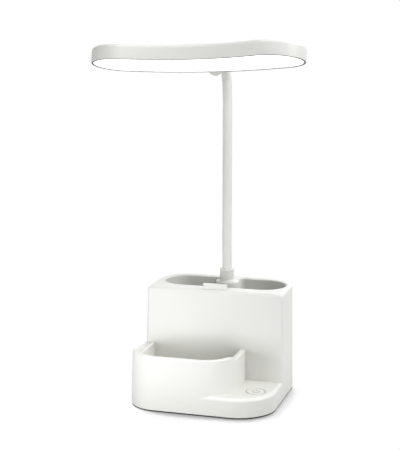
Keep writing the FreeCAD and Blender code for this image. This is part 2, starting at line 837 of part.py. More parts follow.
plug_z = board_top + size("plug_height") / 2
battery_plug_x = size("cell_right") + size("plug_length") + size("lead_bend")
board_front = board_y - size("board_width") / 2
touch_plug_x = (board_length - size("plug_length")) / 2
cell_end = Vector(size("cell_right") + size("cell_cap_height"), cell_y, plug_z)
feature("battery_lead", lead([cell_end, Vector(battery_plug_x, cell_y, plug_z),
                              Vector(battery_plug_x, board_front, plug_z)],
                             size("lead_radius"), size("lead_bend")))
touch_board_z = ceiling - size("touch_drop") - size("touch_board_thickness") / 2
touch_board_back = touch_y + size("touch_board_radius")
feature("touch_lead", lead([Vector(touch_x, touch_board_back, touch_board_z),
                            Vector(touch_x, touch_board_back + size("plug_length"), touch_board_z),
                            Vector(touch_plug_x, board_front - size("lead_bend"), plug_z),
                            Vector(touch_plug_x, board_front, plug_z)],
                           size("lead_radius"), size("lead_bend")))

# touch switch under the platform, and the mark printed over it

TOUCH_X = "(%s - touch_from_right)" % HALF_WIDTH
TOUCH_Y = "(touch_from_front - %s)" % HALF_DEPTH
TOUCH_TOP = "(%s - touch_drop)" % CEILING


def touch_board():
    plate = cylinder("touch_plate", "touch_board_radius", "touch_board_thickness", TOUCH_X, TOUCH_Y,
                     TOUCH_TOP + " - touch_board_thickness")
    holes = [cylinder("touch_hole_%d" % k, "screw_radius + screw_gap", "touch_board_thickness + 2 * overrun",
                      "%s + %d * touch_boss_offset" % (TOUCH_X, k),
                      "%s - %d * touch_boss_offset" % (TOUCH_Y, k),
                      TOUCH_TOP + " - touch_board_thickness - overrun") for k in (-1, 1)]
    return cut("touch_drilled", plate, group("touch_holes", holes))


sub_part("touch_board", touch_board())
screw_group("touch_board_screws",
            [("%s + %d * touch_boss_offset" % (TOUCH_X, k), "%s - %d * touch_boss_offset" % (TOUCH_Y, k))
             for k in (-1, 1)], "small_screw_length", TOUCH_TOP + " - touch_board_thickness", True)
sub_part("touch_electrode", cylinder("electrode", "electrode_radius", "electrode_thickness", TOUCH_X, TOUCH_Y,
                                     CEILING + " - electrode_thickness"))
sub_part("touch_contact", cylinder("contact", "contact_radius", "touch_drop - electrode_thickness",
                                   TOUCH_X, TOUCH_Y, TOUCH_TOP))


def touch_icon():
    """a ring of two crescents round a plain power symbol: an open circle and a short bar"""
    line = size("icon_line")
    thick = size("icon_thickness")
    centre = Vector(touch_x, touch_y, size("platform_height"))

    def ring(radius):
        outer = Part.makeCylinder(radius, thick, centre)
        return outer.cut(Part.makeCylinder(radius - line, thick, centre))

    reach = size("icon_radius")
    oval = Part.Ellipse(Vector(), reach - size("icon_thin_line"), reach - size("icon_thick_line"))
    inside = Part.Face(Part.Wire(oval.toShape())).extrude(Vector(0, 0, thick))
    inside.Placement = Placement(centre, Rotation(Vector(0, 0, 1), QUARTER_TURN + size("icon_slant")))
    crescents = Part.makeCylinder(reach, thick, centre).cut(inside)
    symbol = size("symbol_radius")
    gap = size("symbol_gap")
    mouth = Part.makeBox(2 * gap, symbol, thick, centre - Vector(gap, 0, 0))
    bar = Part.makeBox(line, symbol, thick, centre + Vector(-line / 2, line, 0))
    return Part.makeCompound([crescents, ring(symbol).cut(mouth), bar])


feature("touch_icon", touch_icon())

# phone rest: a flat plate with an ear each side that stops it coming out

REST_TOP = "(base_height + rest_proud)"


def phone_rest():
    body = new_body("rest_body")
    half = "rest_width / 2"
    ear = half + " + rest_ear"
    foot = REST_TOP + " - rest_length"
    step = foot + " + rest_ear_height"
    corners = [(ear, foot), (ear, step), (half, step), (half, REST_TOP)]
    corners += [("-(%s)" % x, z) for x, z in reversed(corners)]
    sketch = profile(body, "rest_outline", "XZ_Plane", corners)
    plate = pad(body, sketch, "rest_thickness")
    top = size("base_height") + size("rest_proud")
    rounded_edges(body, plate, "rest_edge", lambda b: near(b.ZMin, top) and b.XLength > b.YLength)
    return place(body, y="%s - block_depth + rest_front_gap + rest_thickness" % HALF_DEPTH)


sub_part("phone_rest", phone_rest())

# ferrule that carries the neck, turned in one piece with its threaded stub, and its washer and nut

NECK_Y = "(%s - neck_from_back)" % HALF_DEPTH


def ferrule():
    body = new_body("ferrule_body")
    top = "ferrule_height"
    lip = "ferrule_height - ferrule_lip"
    corners = [("hose_radius + hose_gap", "-stub_length"),
               ("stub_radius", "-stub_length"),
               ("stub_radius", "0"),
               ("ferrule_flange", "0"),
               ("ferrule_flange", "ferrule_groove"),
               ("ferrule_radius + ferrule_flare / 4", "ferrule_flare / 2"),
               ("ferrule_radius", "ferrule_flare"),
               ("ferrule_radius", lip + " - ferrule_groove"),
               ("ferrule_radius - ferrule_groove", lip),
               ("ferrule_radius", lip + " + ferrule_groove"),
               ("ferrule_radius", top + " - ferrule_edge"),
               ("ferrule_radius - ferrule_edge", top),
               ("sleeve_radius + hose_gap", top),
               ("sleeve_radius + hose_gap", "ferrule_flare"),
               ("hose_radius + hose_gap", "ferrule_flare")]
    sketch = profile(body, "ferrule_outline", "XZ_Plane", corners)
    turned = body.newObject("PartDesign::Revolution", "ferrule_turned")
    turned.Profile = sketch
    turned.ReferenceAxis = (sketch, ["V_Axis"])
    turned.Angle = FULL_TURN
    return place(body, y=NECK_Y, z="base_height")


def drilled(name, blank, z, thickness):
    hole = cylinder(name + "_hole", "stub_radius + screw_gap", "%s + 2 * overrun" % thickness, "0", NECK_Y,
                    "%s - overrun" % z)
    return cut(name, blank, hole)


WASHER_Z = "(base_height - deck - washer_thickness)"
NUT_Z = "(%s - nut_thickness)" % WASHER_Z
sub_part("neck_ferrule", ferrule())
washer = cylinder("washer_blank", "washer_radius", "washer_thickness", "0", NECK_Y, WASHER_Z)
sub_part("neck_washer", drilled("washer_drilled", washer, WASHER_Z, "washer_thickness"))
nut = doc.addObject("Part::Prism", "nut_blank")
nut.Polygon = 6
bind(nut, Circumradius="nut_across / sqrt(3)", Height="nut_thickness")
place(nut, y=NECK_Y, z=NUT_Z)
sub_part("neck_nut", drilled("nut_drilled", nut, NUT_Z, "nut_thickness"))

# the neck's line: upright out of the ferrule, a slight lean, then over into the crook.
# It is worked out in its own plane, forward being -Y, and swung round the ferrule with the head.

FORWARD_TURN = Vector(1, 0, 0)
STRAIGHT = 0.0


def neck_pieces():
    """the line as pieces: where each starts, its lean there, its length and its bend radius"""
    low, lean = size("neck_low_angle"), size("neck_lean")
    high, crook = size("neck_high_angle"), size("neck_crook_angle")
    plan = [(STRAIGHT, size("ferrule_height"), 0),
            (size("neck_low_bend"), None, low),
            (-size("neck_back_bend"), None, lean),
            (STRAIGHT, size("neck_straight"), lean),
            (size("neck_high_bend"), None, high),
            (size("neck_crook_bend"), None, crook),
            (STRAIGHT, size("neck_tip"), crook)]
    pieces = []
    point, angle, start = Vector(), 0.0, -size("ferrule_height")
    for bend, length, end_angle in plan:
        if length is None:
            length = bend * math.radians(end_angle - angle)
        pieces.append((start, start + length, point, angle, bend))
        point, angle = along_piece(point, angle, bend, length)
        start += length
    return pieces


def tangent(angle):
    return Vector(0, -math.sin(math.radians(angle)), math.cos(math.radians(angle)))


def along_piece(point, angle, bend, length):
    if bend == STRAIGHT:
        return point + tangent(angle) * length, angle
    inward = tangent(angle + QUARTER_TURN)
    end_angle = angle + math.degrees(length / bend)
    return point + inward * bend - tangent(end_angle + QUARTER_TURN) * bend, end_angle


NECK = neck_pieces()
neck_end = NECK[-1][1]


def neck_point(distance):
    """the point and lean at a distance along the neck from the ferrule's mouth"""
    for start, end, point, angle, bend in NECK:
        if distance <= end or end == neck_end:
            return along_piece(point, angle, bend, distance - start)


def neck_tube(first, last, radius):
    """a solid rod that follows the neck's line between two distances"""
    solids = []
    for start, end, point, angle, bend in NECK:
        low, high = max(first, start), min(last, end)
        if high - low < nearness:
            continue
        origin, lean = along_piece(point, angle, bend, low - start)
        if bend == STRAIGHT:
            solids.append(Part.makeCylinder(radius, high - low, origin, tangent(lean)))
        else:
            disc = Part.Face(Part.Wire(Part.Circle(origin, tangent(lean), radius).toShape()))
            centre = origin + tangent(lean + QUARTER_TURN) * bend
            solids.append(disc.revolve(centre, FORWARD_TURN, math.degrees((high - low) / bend)))
    return solids[0].fuse(solids[1:]) if len(solids) > 1 else solids[0]


pivots = [size("first_pivot") + k * size("pivot_spacing") for k in range(PIVOTS)]
dome = size("dome_radius")
neck_placement = Placement(Vector(0, neck_y, size("base_height")),
                           Rotation(Vector(0, 0, 1), size("neck_swing")))


def neck_segment(number, outer, inner, first, last):
    """one length of the neck with a ball end below and a cup end above, both centred on the pivots"""
    low = first if number == 0 else pivots[number - 1]
    high = last if number == PIVOTS else pivots[number]
    solid = neck_tube(low, high, outer)
    if number > 0:
        point, _ = neck_point(low)
        ball = neck_tube(low - dome, low + overrun, outer).common(Part.makeSphere(dome, point))
        solid = solid.fuse(ball)
    if number < PIVOTS:
        point, _ = neck_point(high)
        solid = solid.cut(Part.makeSphere(dome + size("dome_gap"), point))
    solid = solid.cut(neck_tube(low - dome - overrun, high + overrun, inner))
    return solid.removeSplitter()


sleeve_start = size("ferrule_flare") - size("ferrule_height") + size("hose_gap")
sleeve_end = neck_end - size("elbow_stop") - size("hose_gap")
hose_start = -size("ferrule_height")
for number in range(PIVOTS + 1):
    feature("neck_sleeve_%d" % (number + 1),
            neck_segment(number, size("sleeve_radius"), size("hose_radius") + size("hose_gap"),
                         sleeve_start, sleeve_end), neck_placement)
    feature("neck_hose_%d" % (number + 1),
            neck_segment(number, size("hose_radius"), size("lead_hole_radius"), hose_start, sleeve_end),
            neck_placement)

lead_top = size("base_height") + size("ferrule_height") + pivots[0] - dome - overrun
lead_low = board_top + size("plug_height")
feature("lamp_lead", Part.makeCylinder(size("lead_radius"), lead_top - lead_low, Vector(0, neck_y, lead_low)))


# the head, worked out in its own frame: X along it, Y to the back, Z up off the rim that faces down.
# The elbow's centre lies at the neck's end, and the head is set from there.

half_head = size("head_half_width")
head_top = size("head_thickness")
head_ceiling = head_top - size("head_wall")
elbow_local = Vector(0, half_head + size("elbow_stand"), size("elbow_height") - size("elbow_drop"))
knee = neck_point(neck_end)[0]
head_turn = Rotation(Vector(0, 0, 1), size("neck_swing"))
head_turn = head_turn * Rotation(Vector(1, 0, 0), -size("head_tilt"))
head_turn = head_turn * Rotation(Vector(0, 1, 0), size("head_roll"))
knee_place = neck_placement.multVec(knee)
head_placement = Placement(knee_place - head_turn.multVec(elbow_local), head_turn)


def head_point(angle, radius, height):
    """a point at an angle along the head's bend, so many millimetres from the bend's centre"""
    turn = math.radians(angle)
    return Vector(radius * math.sin(turn), radius * math.cos(turn) - size("head_bend"), height)


def bean(reach, angle, height):
    """the head's outline: two arcs about one centre joined by a half circle at each end"""
    bend = size("head_bend")
    outer, inner = bend + reach, bend - reach
    ends = [head_point(side * angle, bend, height) for side in (-1, 1)]
    tips = []
    for side, end in zip((-1, 1), ends):
        turn = math.radians(angle)
        tips.append(end + Vector(side * reach * math.cos(turn), -reach * math.sin(turn), 0))
    return Part.Wire([
        Part.Arc(head_point(-angle, outer, height), head_point(0, outer, height),
                 head_point(angle, outer, height)).toShape(),
        Part.Arc(head_point(angle, outer, height), tips[1], head_point(angle, inner, height)).toShape(),
        Part.Arc(head_point(angle, inner, height), head_point(0, inner, height),
                 head_point(-angle, inner, height)).toShape(),
        Part.Arc(head_point(-angle, inner, height), tips[0], head_point(-angle, outer, height)).toShape()])


def bean_slab(reach, low, high, angle=None):
    angle = size("head_half_angle") if angle is None else angle
    return Part.Face(bean(reach, angle, low)).extrude(Vector(0, 0, high - low))


led_bosses = [head_point(share * size("led_board_half_angle"), size("head_bend"), 0)
              for share in LED_BOSS_ANGLE_SHARES]
led_board_top = head_ceiling - size("led_boss_height")
led_board_low = led_board_top - size("led_board_thickness")
diffuser_top = size("diffuser_recess") + size("diffuser_thickness")
stem_centre = Vector(0, half_head, size("elbow_height"))
BACKWARD = Vector(0, 1, 0)
UPWARD = Vector(0, 0, 1)


def at_height(point, height):
    return Vector(point.x, point.y, height)


def head_cover():
    shell = bean_slab(half_head, 0, head_top)
    shell = shell.makeFillet(size("head_top_edge"), edges_where(shell, lambda b: near(b.ZMin, head_top)))
    shell = shell.makeFillet(size("head_rim_edge"), edges_where(shell, lambda b: near(b.ZMax, 0)))
    seat = diffuser_top + nearness
    shell = shell.cut(bean_slab(half_head - size("head_rim"), -overrun, seat))
    shell = shell.cut(bean_slab(half_head - size("head_ledge"), 0, head_ceiling))
    hole = size("screw_radius") + screw_gap
    for place_on in led_bosses:
        shell = shell.fuse(Part.makeCylinder(size("led_boss_radius"), head_ceiling - led_board_top,
                                             at_height(place_on, led_board_top)))
    for place_on in led_bosses:
        shell = shell.cut(Part.makeCylinder(hole, size("led_boss_height"),
                                            at_height(place_on, led_board_top)))
    bore = Part.makeCylinder(size("spigot_radius") + size("spigot_gap"), size("head_ledge") + 2 * overrun,
                             stem_centre - BACKWARD * (size("head_ledge") + overrun), BACKWARD)
    return shell.cut(bore).removeSplitter()


def reflector_film():
    film = bean_slab(half_head - size("head_ledge") - size("diffuser_gap"),
                     head_ceiling - size("film_thickness"), head_ceiling)
    for place_on in led_bosses:
        film = film.cut(Part.makeCylinder(size("led_boss_radius") + size("diffuser_gap"), head_thick_cut,
                                          at_height(place_on, 0)))
    return film


def led_board():
    board = bean_slab(size("led_board_half_width"), led_board_low, led_board_top,
                      size("led_board_half_angle"))
    for place_on in led_bosses:
        board = board.cut(Part.makeCylinder(size("screw_radius") + screw_gap, head_thick_cut,
                                            at_height(place_on, 0)))
    return board


def leds():
    """two rows of chips, each chip turned to follow the bend"""
    chips = []
    low = led_board_low - size("led_thickness")
    for column in range(LED_COLUMNS):
        angle = size("led_board_half_angle") * ((2 * column + 1) / LED_COLUMNS - 1)
        for side in (-1, 1):
            chip = Part.makeBox(size("led_length"), size("led_width"), size("led_thickness"),
                                Vector(-size("led_length") / 2, -size("led_width") / 2, 0))
            spot = head_point(angle, size("head_bend") + side * size("led_row_offset"), low)
            chip.Placement = Placement(spot, Rotation(UPWARD, -angle))
            chips.append(chip)
    return Part.makeCompound(chips)


def led_screws():
    pieces = []
    for place_on in led_bosses:
        head_low = led_board_low - size("screw_head_height")
        head = Part.makeCylinder(size("screw_head_radius"), size("screw_head_height"),
                                 at_height(place_on, head_low))
        shank_length = size("led_board_thickness") + size("led_boss_height") - screw_gap
        shank = Part.makeCylinder(size("screw_radius"), shank_length, at_height(place_on, led_board_low))
        pieces.append(head.fuse(shank))
    return Part.makeCompound(pieces)


def elbow():
    """the moulded knee between neck and head, in the head's frame"""
    stem = Part.makeCylinder(size("elbow_stem_radius"), size("elbow_stand"), stem_centre, BACKWARD)
    spigot_length = size("head_ledge") + size("ring_gap") + size("ring_thickness") + overrun
    spigot = Part.makeCylinder(size("spigot_radius"), spigot_length,
                               stem_centre - BACKWARD * spigot_length, BACKWARD)
    ball = Part.makeSphere(size("elbow_radius"), elbow_local)
    mouth, _ = neck_point(neck_end - size("elbow_socket"))
    stop, _ = neck_point(neck_end - size("elbow_stop"))
    to_head = head_placement.inverse().multiply(neck_placement)
    mouth, stop = to_head.multVec(mouth), to_head.multVec(stop)
    down = (mouth - stop).normalize()
    socket = Part.makeCylinder(size("elbow_radius"), (mouth - elbow_local).Length, elbow_local, down)
    socket = socket.makeFillet(size("elbow_edge"), [socket.Edges[0]])
    solid = ball.fuse([stem, spigot, socket])
    sleeve = neck_tube(neck_end - size("elbow_socket") - 2 * dome, neck_end - size("elbow_stop"),
                       size("sleeve_radius") + size("hose_gap"))
    sleeve.Placement = to_head.multiply(sleeve.Placement)
    return solid.cut(sleeve).removeSplitter()


def spigot_ring():
    back = stem_centre - BACKWARD * (size("head_ledge") + size("ring_gap"))
    ring = Part.makeCylinder(size("ring_radius"), size("ring_thickness"), back, -BACKWARD)
    return ring.cut(Part.makeCylinder(size("spigot_radius") + size("spigot_gap"), size("ring_thickness"),
                                      back, -BACKWARD))


def head_lead():
    ring_low = size("head_ledge") + size("ring_gap") + size("ring_thickness")
    start = stem_centre - BACKWARD * (ring_low + overrun)
    end = Vector(0, size("led_board_half_width") - size("led_board_half_width") / 3,
                 led_board_low - size("lead_radius"))
    corner = Vector(0, (start.y + end.y) / 2, start.z)
    return lead([start, corner, end], size("lead_radius"), size("lead_bend"))


head_thick_cut = head_top
feature("head_cover", head_cover(), head_placement)
feature("head_diffuser", bean_slab(half_head - size("head_rim") - size("diffuser_gap"),
                                   size("diffuser_recess"), diffuser_top), head_placement)
feature("reflector_film", reflector_film(), head_placement)
feature("led_board", led_board(), head_placement)
feature("leds", leds(), head_placement)
feature("led_board_screws", led_screws(), head_placement)
feature("head_elbow", elbow(), head_placement)
feature("elbow_ring", spigot_ring(), head_placement)
feature("head_lead", head_lead(), head_placement)

doc.recompute()

faults = [thing.Label for thing in doc.Objects if {"Invalid", "Error"} & set(thing.State)]
for node, thing in SUB_PARTS.items():
    if thing.Shape.isNull() or not thing.Shape.isValid():
        faults.append(node)
if faults:
    raise RuntimeError("not sound: " + ", ".join(sorted(set(faults))))

os.makedirs("parts", exist_ok=True)
for node, thing in SUB_PARTS.items():
    thing.Shape.exportStep("parts/%s.step" % node)
    print("%-24s %2d solids %10.1f mm3" % (node, len(thing.Shape.Solids), thing.Shape.Volume))

turn = neck_placement.Rotation
for number, distance in enumerate(pivots, 1):
    point, lean = neck_point(distance)
    spot = neck_placement.multVec(point)
    across = turn.multVec(FORWARD_TURN)
    outward = turn.multVec(tangent(lean + QUARTER_TURN))
    print("pivot %d at %s, across %s, outward %s" % (number, tuple(round(c, 3) for c in spot),
                                                    tuple(round(c, 5) for c in across),
                                                    tuple(round(c, 5) for c in outward)))
print("head frame at", tuple(round(c, 3) for c in head_placement.Base), "knee at",
      tuple(round(c, 3) for c in knee_place))
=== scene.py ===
# %% [markdown]
# # A desk lamp with an organiser base
# The lamp is a moulded base with two pen cups and an open tray, a bendable neck and a flat, slightly
# curved light head. This lesson takes the CAD model as a fixed frame and adds what CAD leaves out: soft
# moulded forms, a smooth sleeve over the neck, finishes, light and a camera.
# Lengths in the tables below are in millimetres, as on a drawing. Blender works in metres, so every
# table goes through the factor MM once.

import math

import bpy
import numpy as np
from mathutils import Matrix, Vector


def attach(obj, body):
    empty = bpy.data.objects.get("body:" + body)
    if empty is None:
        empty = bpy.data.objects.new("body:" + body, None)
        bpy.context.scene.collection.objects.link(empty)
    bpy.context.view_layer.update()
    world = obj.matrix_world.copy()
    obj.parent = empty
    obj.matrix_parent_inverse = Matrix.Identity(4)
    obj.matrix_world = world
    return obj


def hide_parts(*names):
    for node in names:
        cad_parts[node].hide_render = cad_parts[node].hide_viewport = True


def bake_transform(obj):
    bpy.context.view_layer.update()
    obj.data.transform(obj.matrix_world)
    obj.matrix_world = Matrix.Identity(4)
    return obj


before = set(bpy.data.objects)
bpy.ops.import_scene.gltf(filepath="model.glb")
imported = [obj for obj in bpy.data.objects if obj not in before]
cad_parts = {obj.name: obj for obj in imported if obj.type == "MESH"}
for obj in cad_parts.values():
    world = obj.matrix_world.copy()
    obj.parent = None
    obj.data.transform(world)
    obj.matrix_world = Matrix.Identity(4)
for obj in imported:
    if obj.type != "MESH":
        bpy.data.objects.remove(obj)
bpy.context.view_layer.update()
MM = 0.001
scene = bpy.context.scene

# %% [markdown]
# ## Surfaces from numbers
# A moulded or turned form is a grid of points: one direction runs along the form, the other runs round
# it. The function below turns such a grid into a mesh. Points that fall on the same spot, as at a pole
# or along a seam, become one point, so the surface is closed like the skin of the real piece. The sign
# of the enclosed volume says whether the faces look outwards, and the grid is turned over if they don't.

# %% Faces, welding and volume
def faces_of_grid(rows, columns, around, along):
    """four-cornered faces between neighbouring points; around and along say which directions close"""
    i = np.arange(rows if along else rows - 1)
    j = np.arange(columns if around else columns - 1)
    i, j = np.meshgrid(i, j, indexing="ij")
    i, j = i.ravel(), j.ravel()
    i2, j2 = (i + 1) % rows, (j + 1) % columns
    return np.stack([i * columns + j, i * columns + j2, i2 * columns + j2, i2 * columns + j], axis=1)


def welded(points, quads):
    """points closer than a thousandth of a millimetre become one; faces keep three or four corners"""
    keys = np.round(points / (MM / 1000)).astype(np.int64)
    _, first, back = np.unique(keys, axis=0, return_index=True, return_inverse=True)
    quads = back.ravel()[quads]
    same = np.stack([quads[:, k] == quads[:, (k + 1) % 4] for k in range(4)], axis=1)
    count = same.sum(axis=1)
    whole = quads[count == 0]
    thirds = quads[count == 1]
    flat = np.argmax(same[count == 1], axis=1)
    keep = (flat[:, None] + np.array([1, 2, 3])) % 4
    thirds = np.take_along_axis(thirds, keep, axis=1)
    return points[first], whole, thirds


def enclosed_volume(points, quads, thirds):
    """a sixth of the sum, over all triangles, of corner . (corner x corner)"""
    triangles = np.concatenate([quads[:, [0, 1, 2]], quads[:, [0, 2, 3]], thirds])
    a, b, c = (points[triangles[:, k]] for k in range(3))
    return np.einsum("ij,ij->i", a, np.cross(b, c)).sum() / 6


# %% [markdown]
# Now the mesh itself. The points and faces go in as whole arrays, and every face is shaded smooth.

# %% A grid of points becomes a closed surface
def surface(name, grid, around=True, along=False):
    """a mesh object from a grid of points in millimetres in the row frame"""
    rows, columns = grid.shape[:2]
    points = grid.reshape(-1, 3) * MM
    points, quads, thirds = welded(points, faces_of_grid(rows, columns, around, along))
    if enclosed_volume(points, quads, thirds) < 0:
        quads, thirds = quads[:, ::-1], thirds[:, ::-1]
    mesh = bpy.data.meshes.new(name)
    mesh.from_pydata(points.tolist(), [], quads.tolist() + thirds.tolist())
    mesh.polygons.foreach_set("use_smooth", np.ones(len(mesh.polygons), bool))
    mesh.validate()
    thing = bpy.data.objects.new(name, mesh)
    scene.collection.objects.link(thing)
    print("%-16s %6d faces" % (name, len(mesh.polygons)))
    return thing


# %% [markdown]
# Two more tools finish a form. Shading runs round blunt edges and stays crisp at sharp ones. And an
# outline with eased corners is where each turned or carried form starts: from a point on one side of
# the corner to a point on the other runs a quadratic curve, (1-t)^2 a + 2t(1-t) b + t^2 c, with the
# corner as b.

# %% Crisp edges and eased outlines
def crease(thing, degrees):
    """edges sharper than so many degrees stay sharp, all others are shaded round"""
    thing.data.set_sharp_from_angle(angle=math.radians(degrees))


def rounded_profile(corners, steps=6):
    """a closed outline in a plane: each corner (x, y, radius) is eased with a quadratic curve"""
    places = np.array([c[:2] for c in corners], float)
    radii = np.array([c[2] for c in corners], float)
    before = np.roll(places, 1, axis=0) - places
    after = np.roll(places, -1, axis=0) - places
    before /= np.linalg.norm(before, axis=1)[:, None]
    after /= np.linalg.norm(after, axis=1)[:, None]
    t = np.linspace(0, 1, steps)[None, :, None]
    start = (places + before * radii[:, None])[:, None]
    end = (places + after * radii[:, None])[:, None]
    curve = (1 - t) ** 2 * start + 2 * t * (1 - t) * places[:, None] + t ** 2 * end
    return curve.reshape(-1, 2)


print("points on an eased square:", len(rounded_profile([(0, 0, 1), (4, 0, 1), (4, 4, 1), (0, 4, 1)])))

# %% [markdown]
# ## The neck's line
# The neck is a gooseneck: it rises from the ferrule, leans a little, and turns forward at the top into
# the light head. Its lean angle, drawn over the distance from the ferrule's mouth, is a broken line:
# straight lengths are level stretches and bends of one radius are slopes. Adding up small steps in the
# direction of the lean gives the line itself. Each row below is a straight length or a bend's radius,
# and the lean in degrees at its end.

# %% The neck's line from its lean angle
BENDS = ((13.1, None, 0.0), (None, 250.0, 3.5), (None, 400.0, 0.9), (135.6, None, 0.9),
         (None, 150.0, 10.0), (None, 20.0, 108.0), (8.2, None, 108.0))
stations, leans = [-13.1], [0.0]
for straight, radius, lean_after in BENDS:
    run = straight if straight else radius * math.radians(abs(lean_after - leans[-1]))
    stations.append(stations[-1] + run)
    leans.append(lean_after)
NECK_END = stations[-1]
STEP = 0.05
SWING = math.radians(-4.5)
NECK_FOOT = np.array([0.0, 45.45, 108.4])

step_s = np.arange(stations[0], NECK_END + STEP, STEP)
step_lean = np.radians(np.interp(step_s, stations, leans))
step_middle = (step_lean[1:] + step_lean[:-1]) / 2
step_y = np.concatenate([[0], np.cumsum(-np.sin(step_middle)) * STEP])
step_z = np.concatenate([[0], np.cumsum(np.cos(step_middle)) * STEP])


def turned_by_swing(points):
    """the neck's own plane is turned a few degrees about the upright"""
    c, s = math.cos(SWING), math.sin(SWING)
    return points @ np.array([[c, s, 0], [-s, c, 0], [0, 0, 1]])


def neck_line(s):
    """points on the neck's line, the direction along it and the direction square to it, in its plane"""
    lean = np.radians(np.interp(s, stations, leans))
    zero = np.zeros_like(s)
    place = np.stack([zero, np.interp(s, step_s, step_y), np.interp(s, step_s, step_z)], axis=1)
    ahead = np.stack([zero, -np.sin(lean), np.cos(lean)], axis=1)
    square = np.stack([zero, np.cos(lean), np.sin(lean)], axis=1)
    return turned_by_swing(place) + NECK_FOOT, turned_by_swing(ahead), turned_by_swing(square)


ACROSS = turned_by_swing(np.array([1.0, 0.0, 0.0]))
print("neck length %.1f mm, knee at" % NECK_END, neck_line(np.array([NECK_END]))[0].round(2))

# %% [markdown]
# ## The neck's sleeve
# On the real lamp one soft silicone sleeve covers the steel hose from the ferrule to the head. CAD cuts it
# into lengths so that the neck can bend at eight hinges. Here each hinge gets its own stretch of sleeve,
# from the middle of one length to the middle of the next, and the stretches meet end to end. A stretch is
# a tube with a wall: rings up its outside and back down its bore, closed into a loop.

# %% Eight stretches of sleeve
FIRST_PIVOT, SPACING, SLEEVE, BORE = 12.0, 28.8, 4.8, 3.55
SLEEVE_FOOT, SLEEVE_TOP, BEND_FROM, RINGS = -9.8, NECK_END - 3.1, 0.5, 49
turn = np.linspace(0, 2 * math.pi, 64, endpoint=False)


def tube_rings(s, radius):
    """rings round the neck's line: a row for each distance s, with a radius of its own"""
    place, _, square = neck_line(s)
    spokes = np.cos(turn)[None, :, None] * ACROSS + np.sin(turn)[None, :, None] * square[:, None]
    return place[:, None] + spokes * np.asarray(radius, float)[:, None, None]


sleeves = []
for k in range(8):
    middle = FIRST_PIVOT + k * SPACING
    low = SLEEVE_FOOT if k == 0 else middle - SPACING / 2
    high = SLEEVE_TOP if k == 7 else middle + SPACING / 2
    s = np.linspace(low, high, RINGS)
    outer, inner = np.full_like(s, SLEEVE), np.full_like(s, BORE)
    grid = tube_rings(np.concatenate([s, s[::-1]]), np.concatenate([outer, inner]))
    sleeve = surface("sleeve_%d" % (k + 1), grid, along=True)
    crease(sleeve, 50)
    start, end = neck_line(np.array([max(low, BEND_FROM), high]))[0]
    along = (end - start) / np.linalg.norm(end - start)
    start = start + along * max(0.0, ((grid[0] - start) @ along).max())
    end = end + along * min(0.0, ((grid[RINGS - 1] - end) @ along).min())
    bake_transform(sleeve)
    sleeves.append(sleeve)
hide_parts(*["neck_sleeve_%d" % k for k in range(1, 10)])

# %% [markdown]
# ## The ferrule
# The neck stands in a moulded ferrule: a wide foot that sweeps up from the deck, a straight neck with
# two fine rings pressed in, and a rounded lip. Its threaded stub goes down through the deck to a nut.
# It is a turned form, so one outline turned round the upright makes it. Each row below is a corner:
# distance from the middle, height over the deck, and how much of the corner is eased.

# %% A turned ferrule
CREST, ROOT, THREAD_PITCH, SPOKES = 5.0, 4.62, 0.8, 96
thread_z = np.repeat(np.arange(-13.2, -0.8, THREAD_PITCH), 2)
thread_r = np.where(np.arange(len(thread_z)) % 2, CREST, ROOT)
thread = [(r, z + THREAD_PITCH / 2 * (r == CREST), 0.05) for r, z in zip(thread_r, thread_z)]
FERRULE = [(4.95, 3.2, 0.1), (3.45, 3.2, 0.1), (3.45, -14.0, 0.2), (ROOT, -14.0, 0.3)] + thread + [
    (CREST, 0.0, 0.1), (9.0, 0.0, 0.05), (9.0, 0.45, 0.3), (7.3, 0.9, 1.6), (7.2, 8.3, 0.2),
    (6.95, 8.6, 0.1), (7.2, 8.9, 0.2), (7.2, 10.4, 0.2), (6.9, 10.8, 0.15), (7.4, 11.2, 0.25),
    (7.4, 13.1, 0.8), (4.95, 13.1, 0.4)]
outline = rounded_profile(FERRULE, steps=6)
wheel = np.linspace(0, 2 * math.pi, SPOKES, endpoint=False)
grid = np.stack([outline[:, :1] * np.cos(wheel), outline[:, :1] * np.sin(wheel) + NECK_FOOT[1],
                 np.broadcast_to(outline[:, 1:] + NECK_FOOT[2], (len(outline), SPOKES))], axis=2)
ferrule = surface("ferrule", grid, along=True)
crease(ferrule, 55)
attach(ferrule, "base")
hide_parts("neck_ferrule")

# %% [markdown]
# ## The light head
# Seen from below the head is a bean: a band that bends about a far centre, with a half circle at each
# end. Any line at a fixed distance from the band's middle is again such a bean, so the cover is one
# cross section, of reach and height, carried round the outline. At reach nothing the two sides meet on
# the middle line, which closes the top.

# %% The outline of the bean and the head's place
HEAD_BEND, HEAD_HALF_ANGLE, HEAD_REACH = 252.0, 17.3, 30.5
HEAD_SWING, HEAD_TIP, HEAD_LEAN = -4.5, -13.2, -2.3
ARC_POINTS, END_POINTS = 96, 40
HEAD_PLACE = np.array([-6.216, -36.037, 332.125])


def turn_matrix(axis, degrees):
    return np.array(Matrix.Rotation(math.radians(degrees), 3, axis))


HEAD_TURN = turn_matrix("Z", HEAD_SWING) @ turn_matrix("X", HEAD_TIP) @ turn_matrix("Y", HEAD_LEAN)


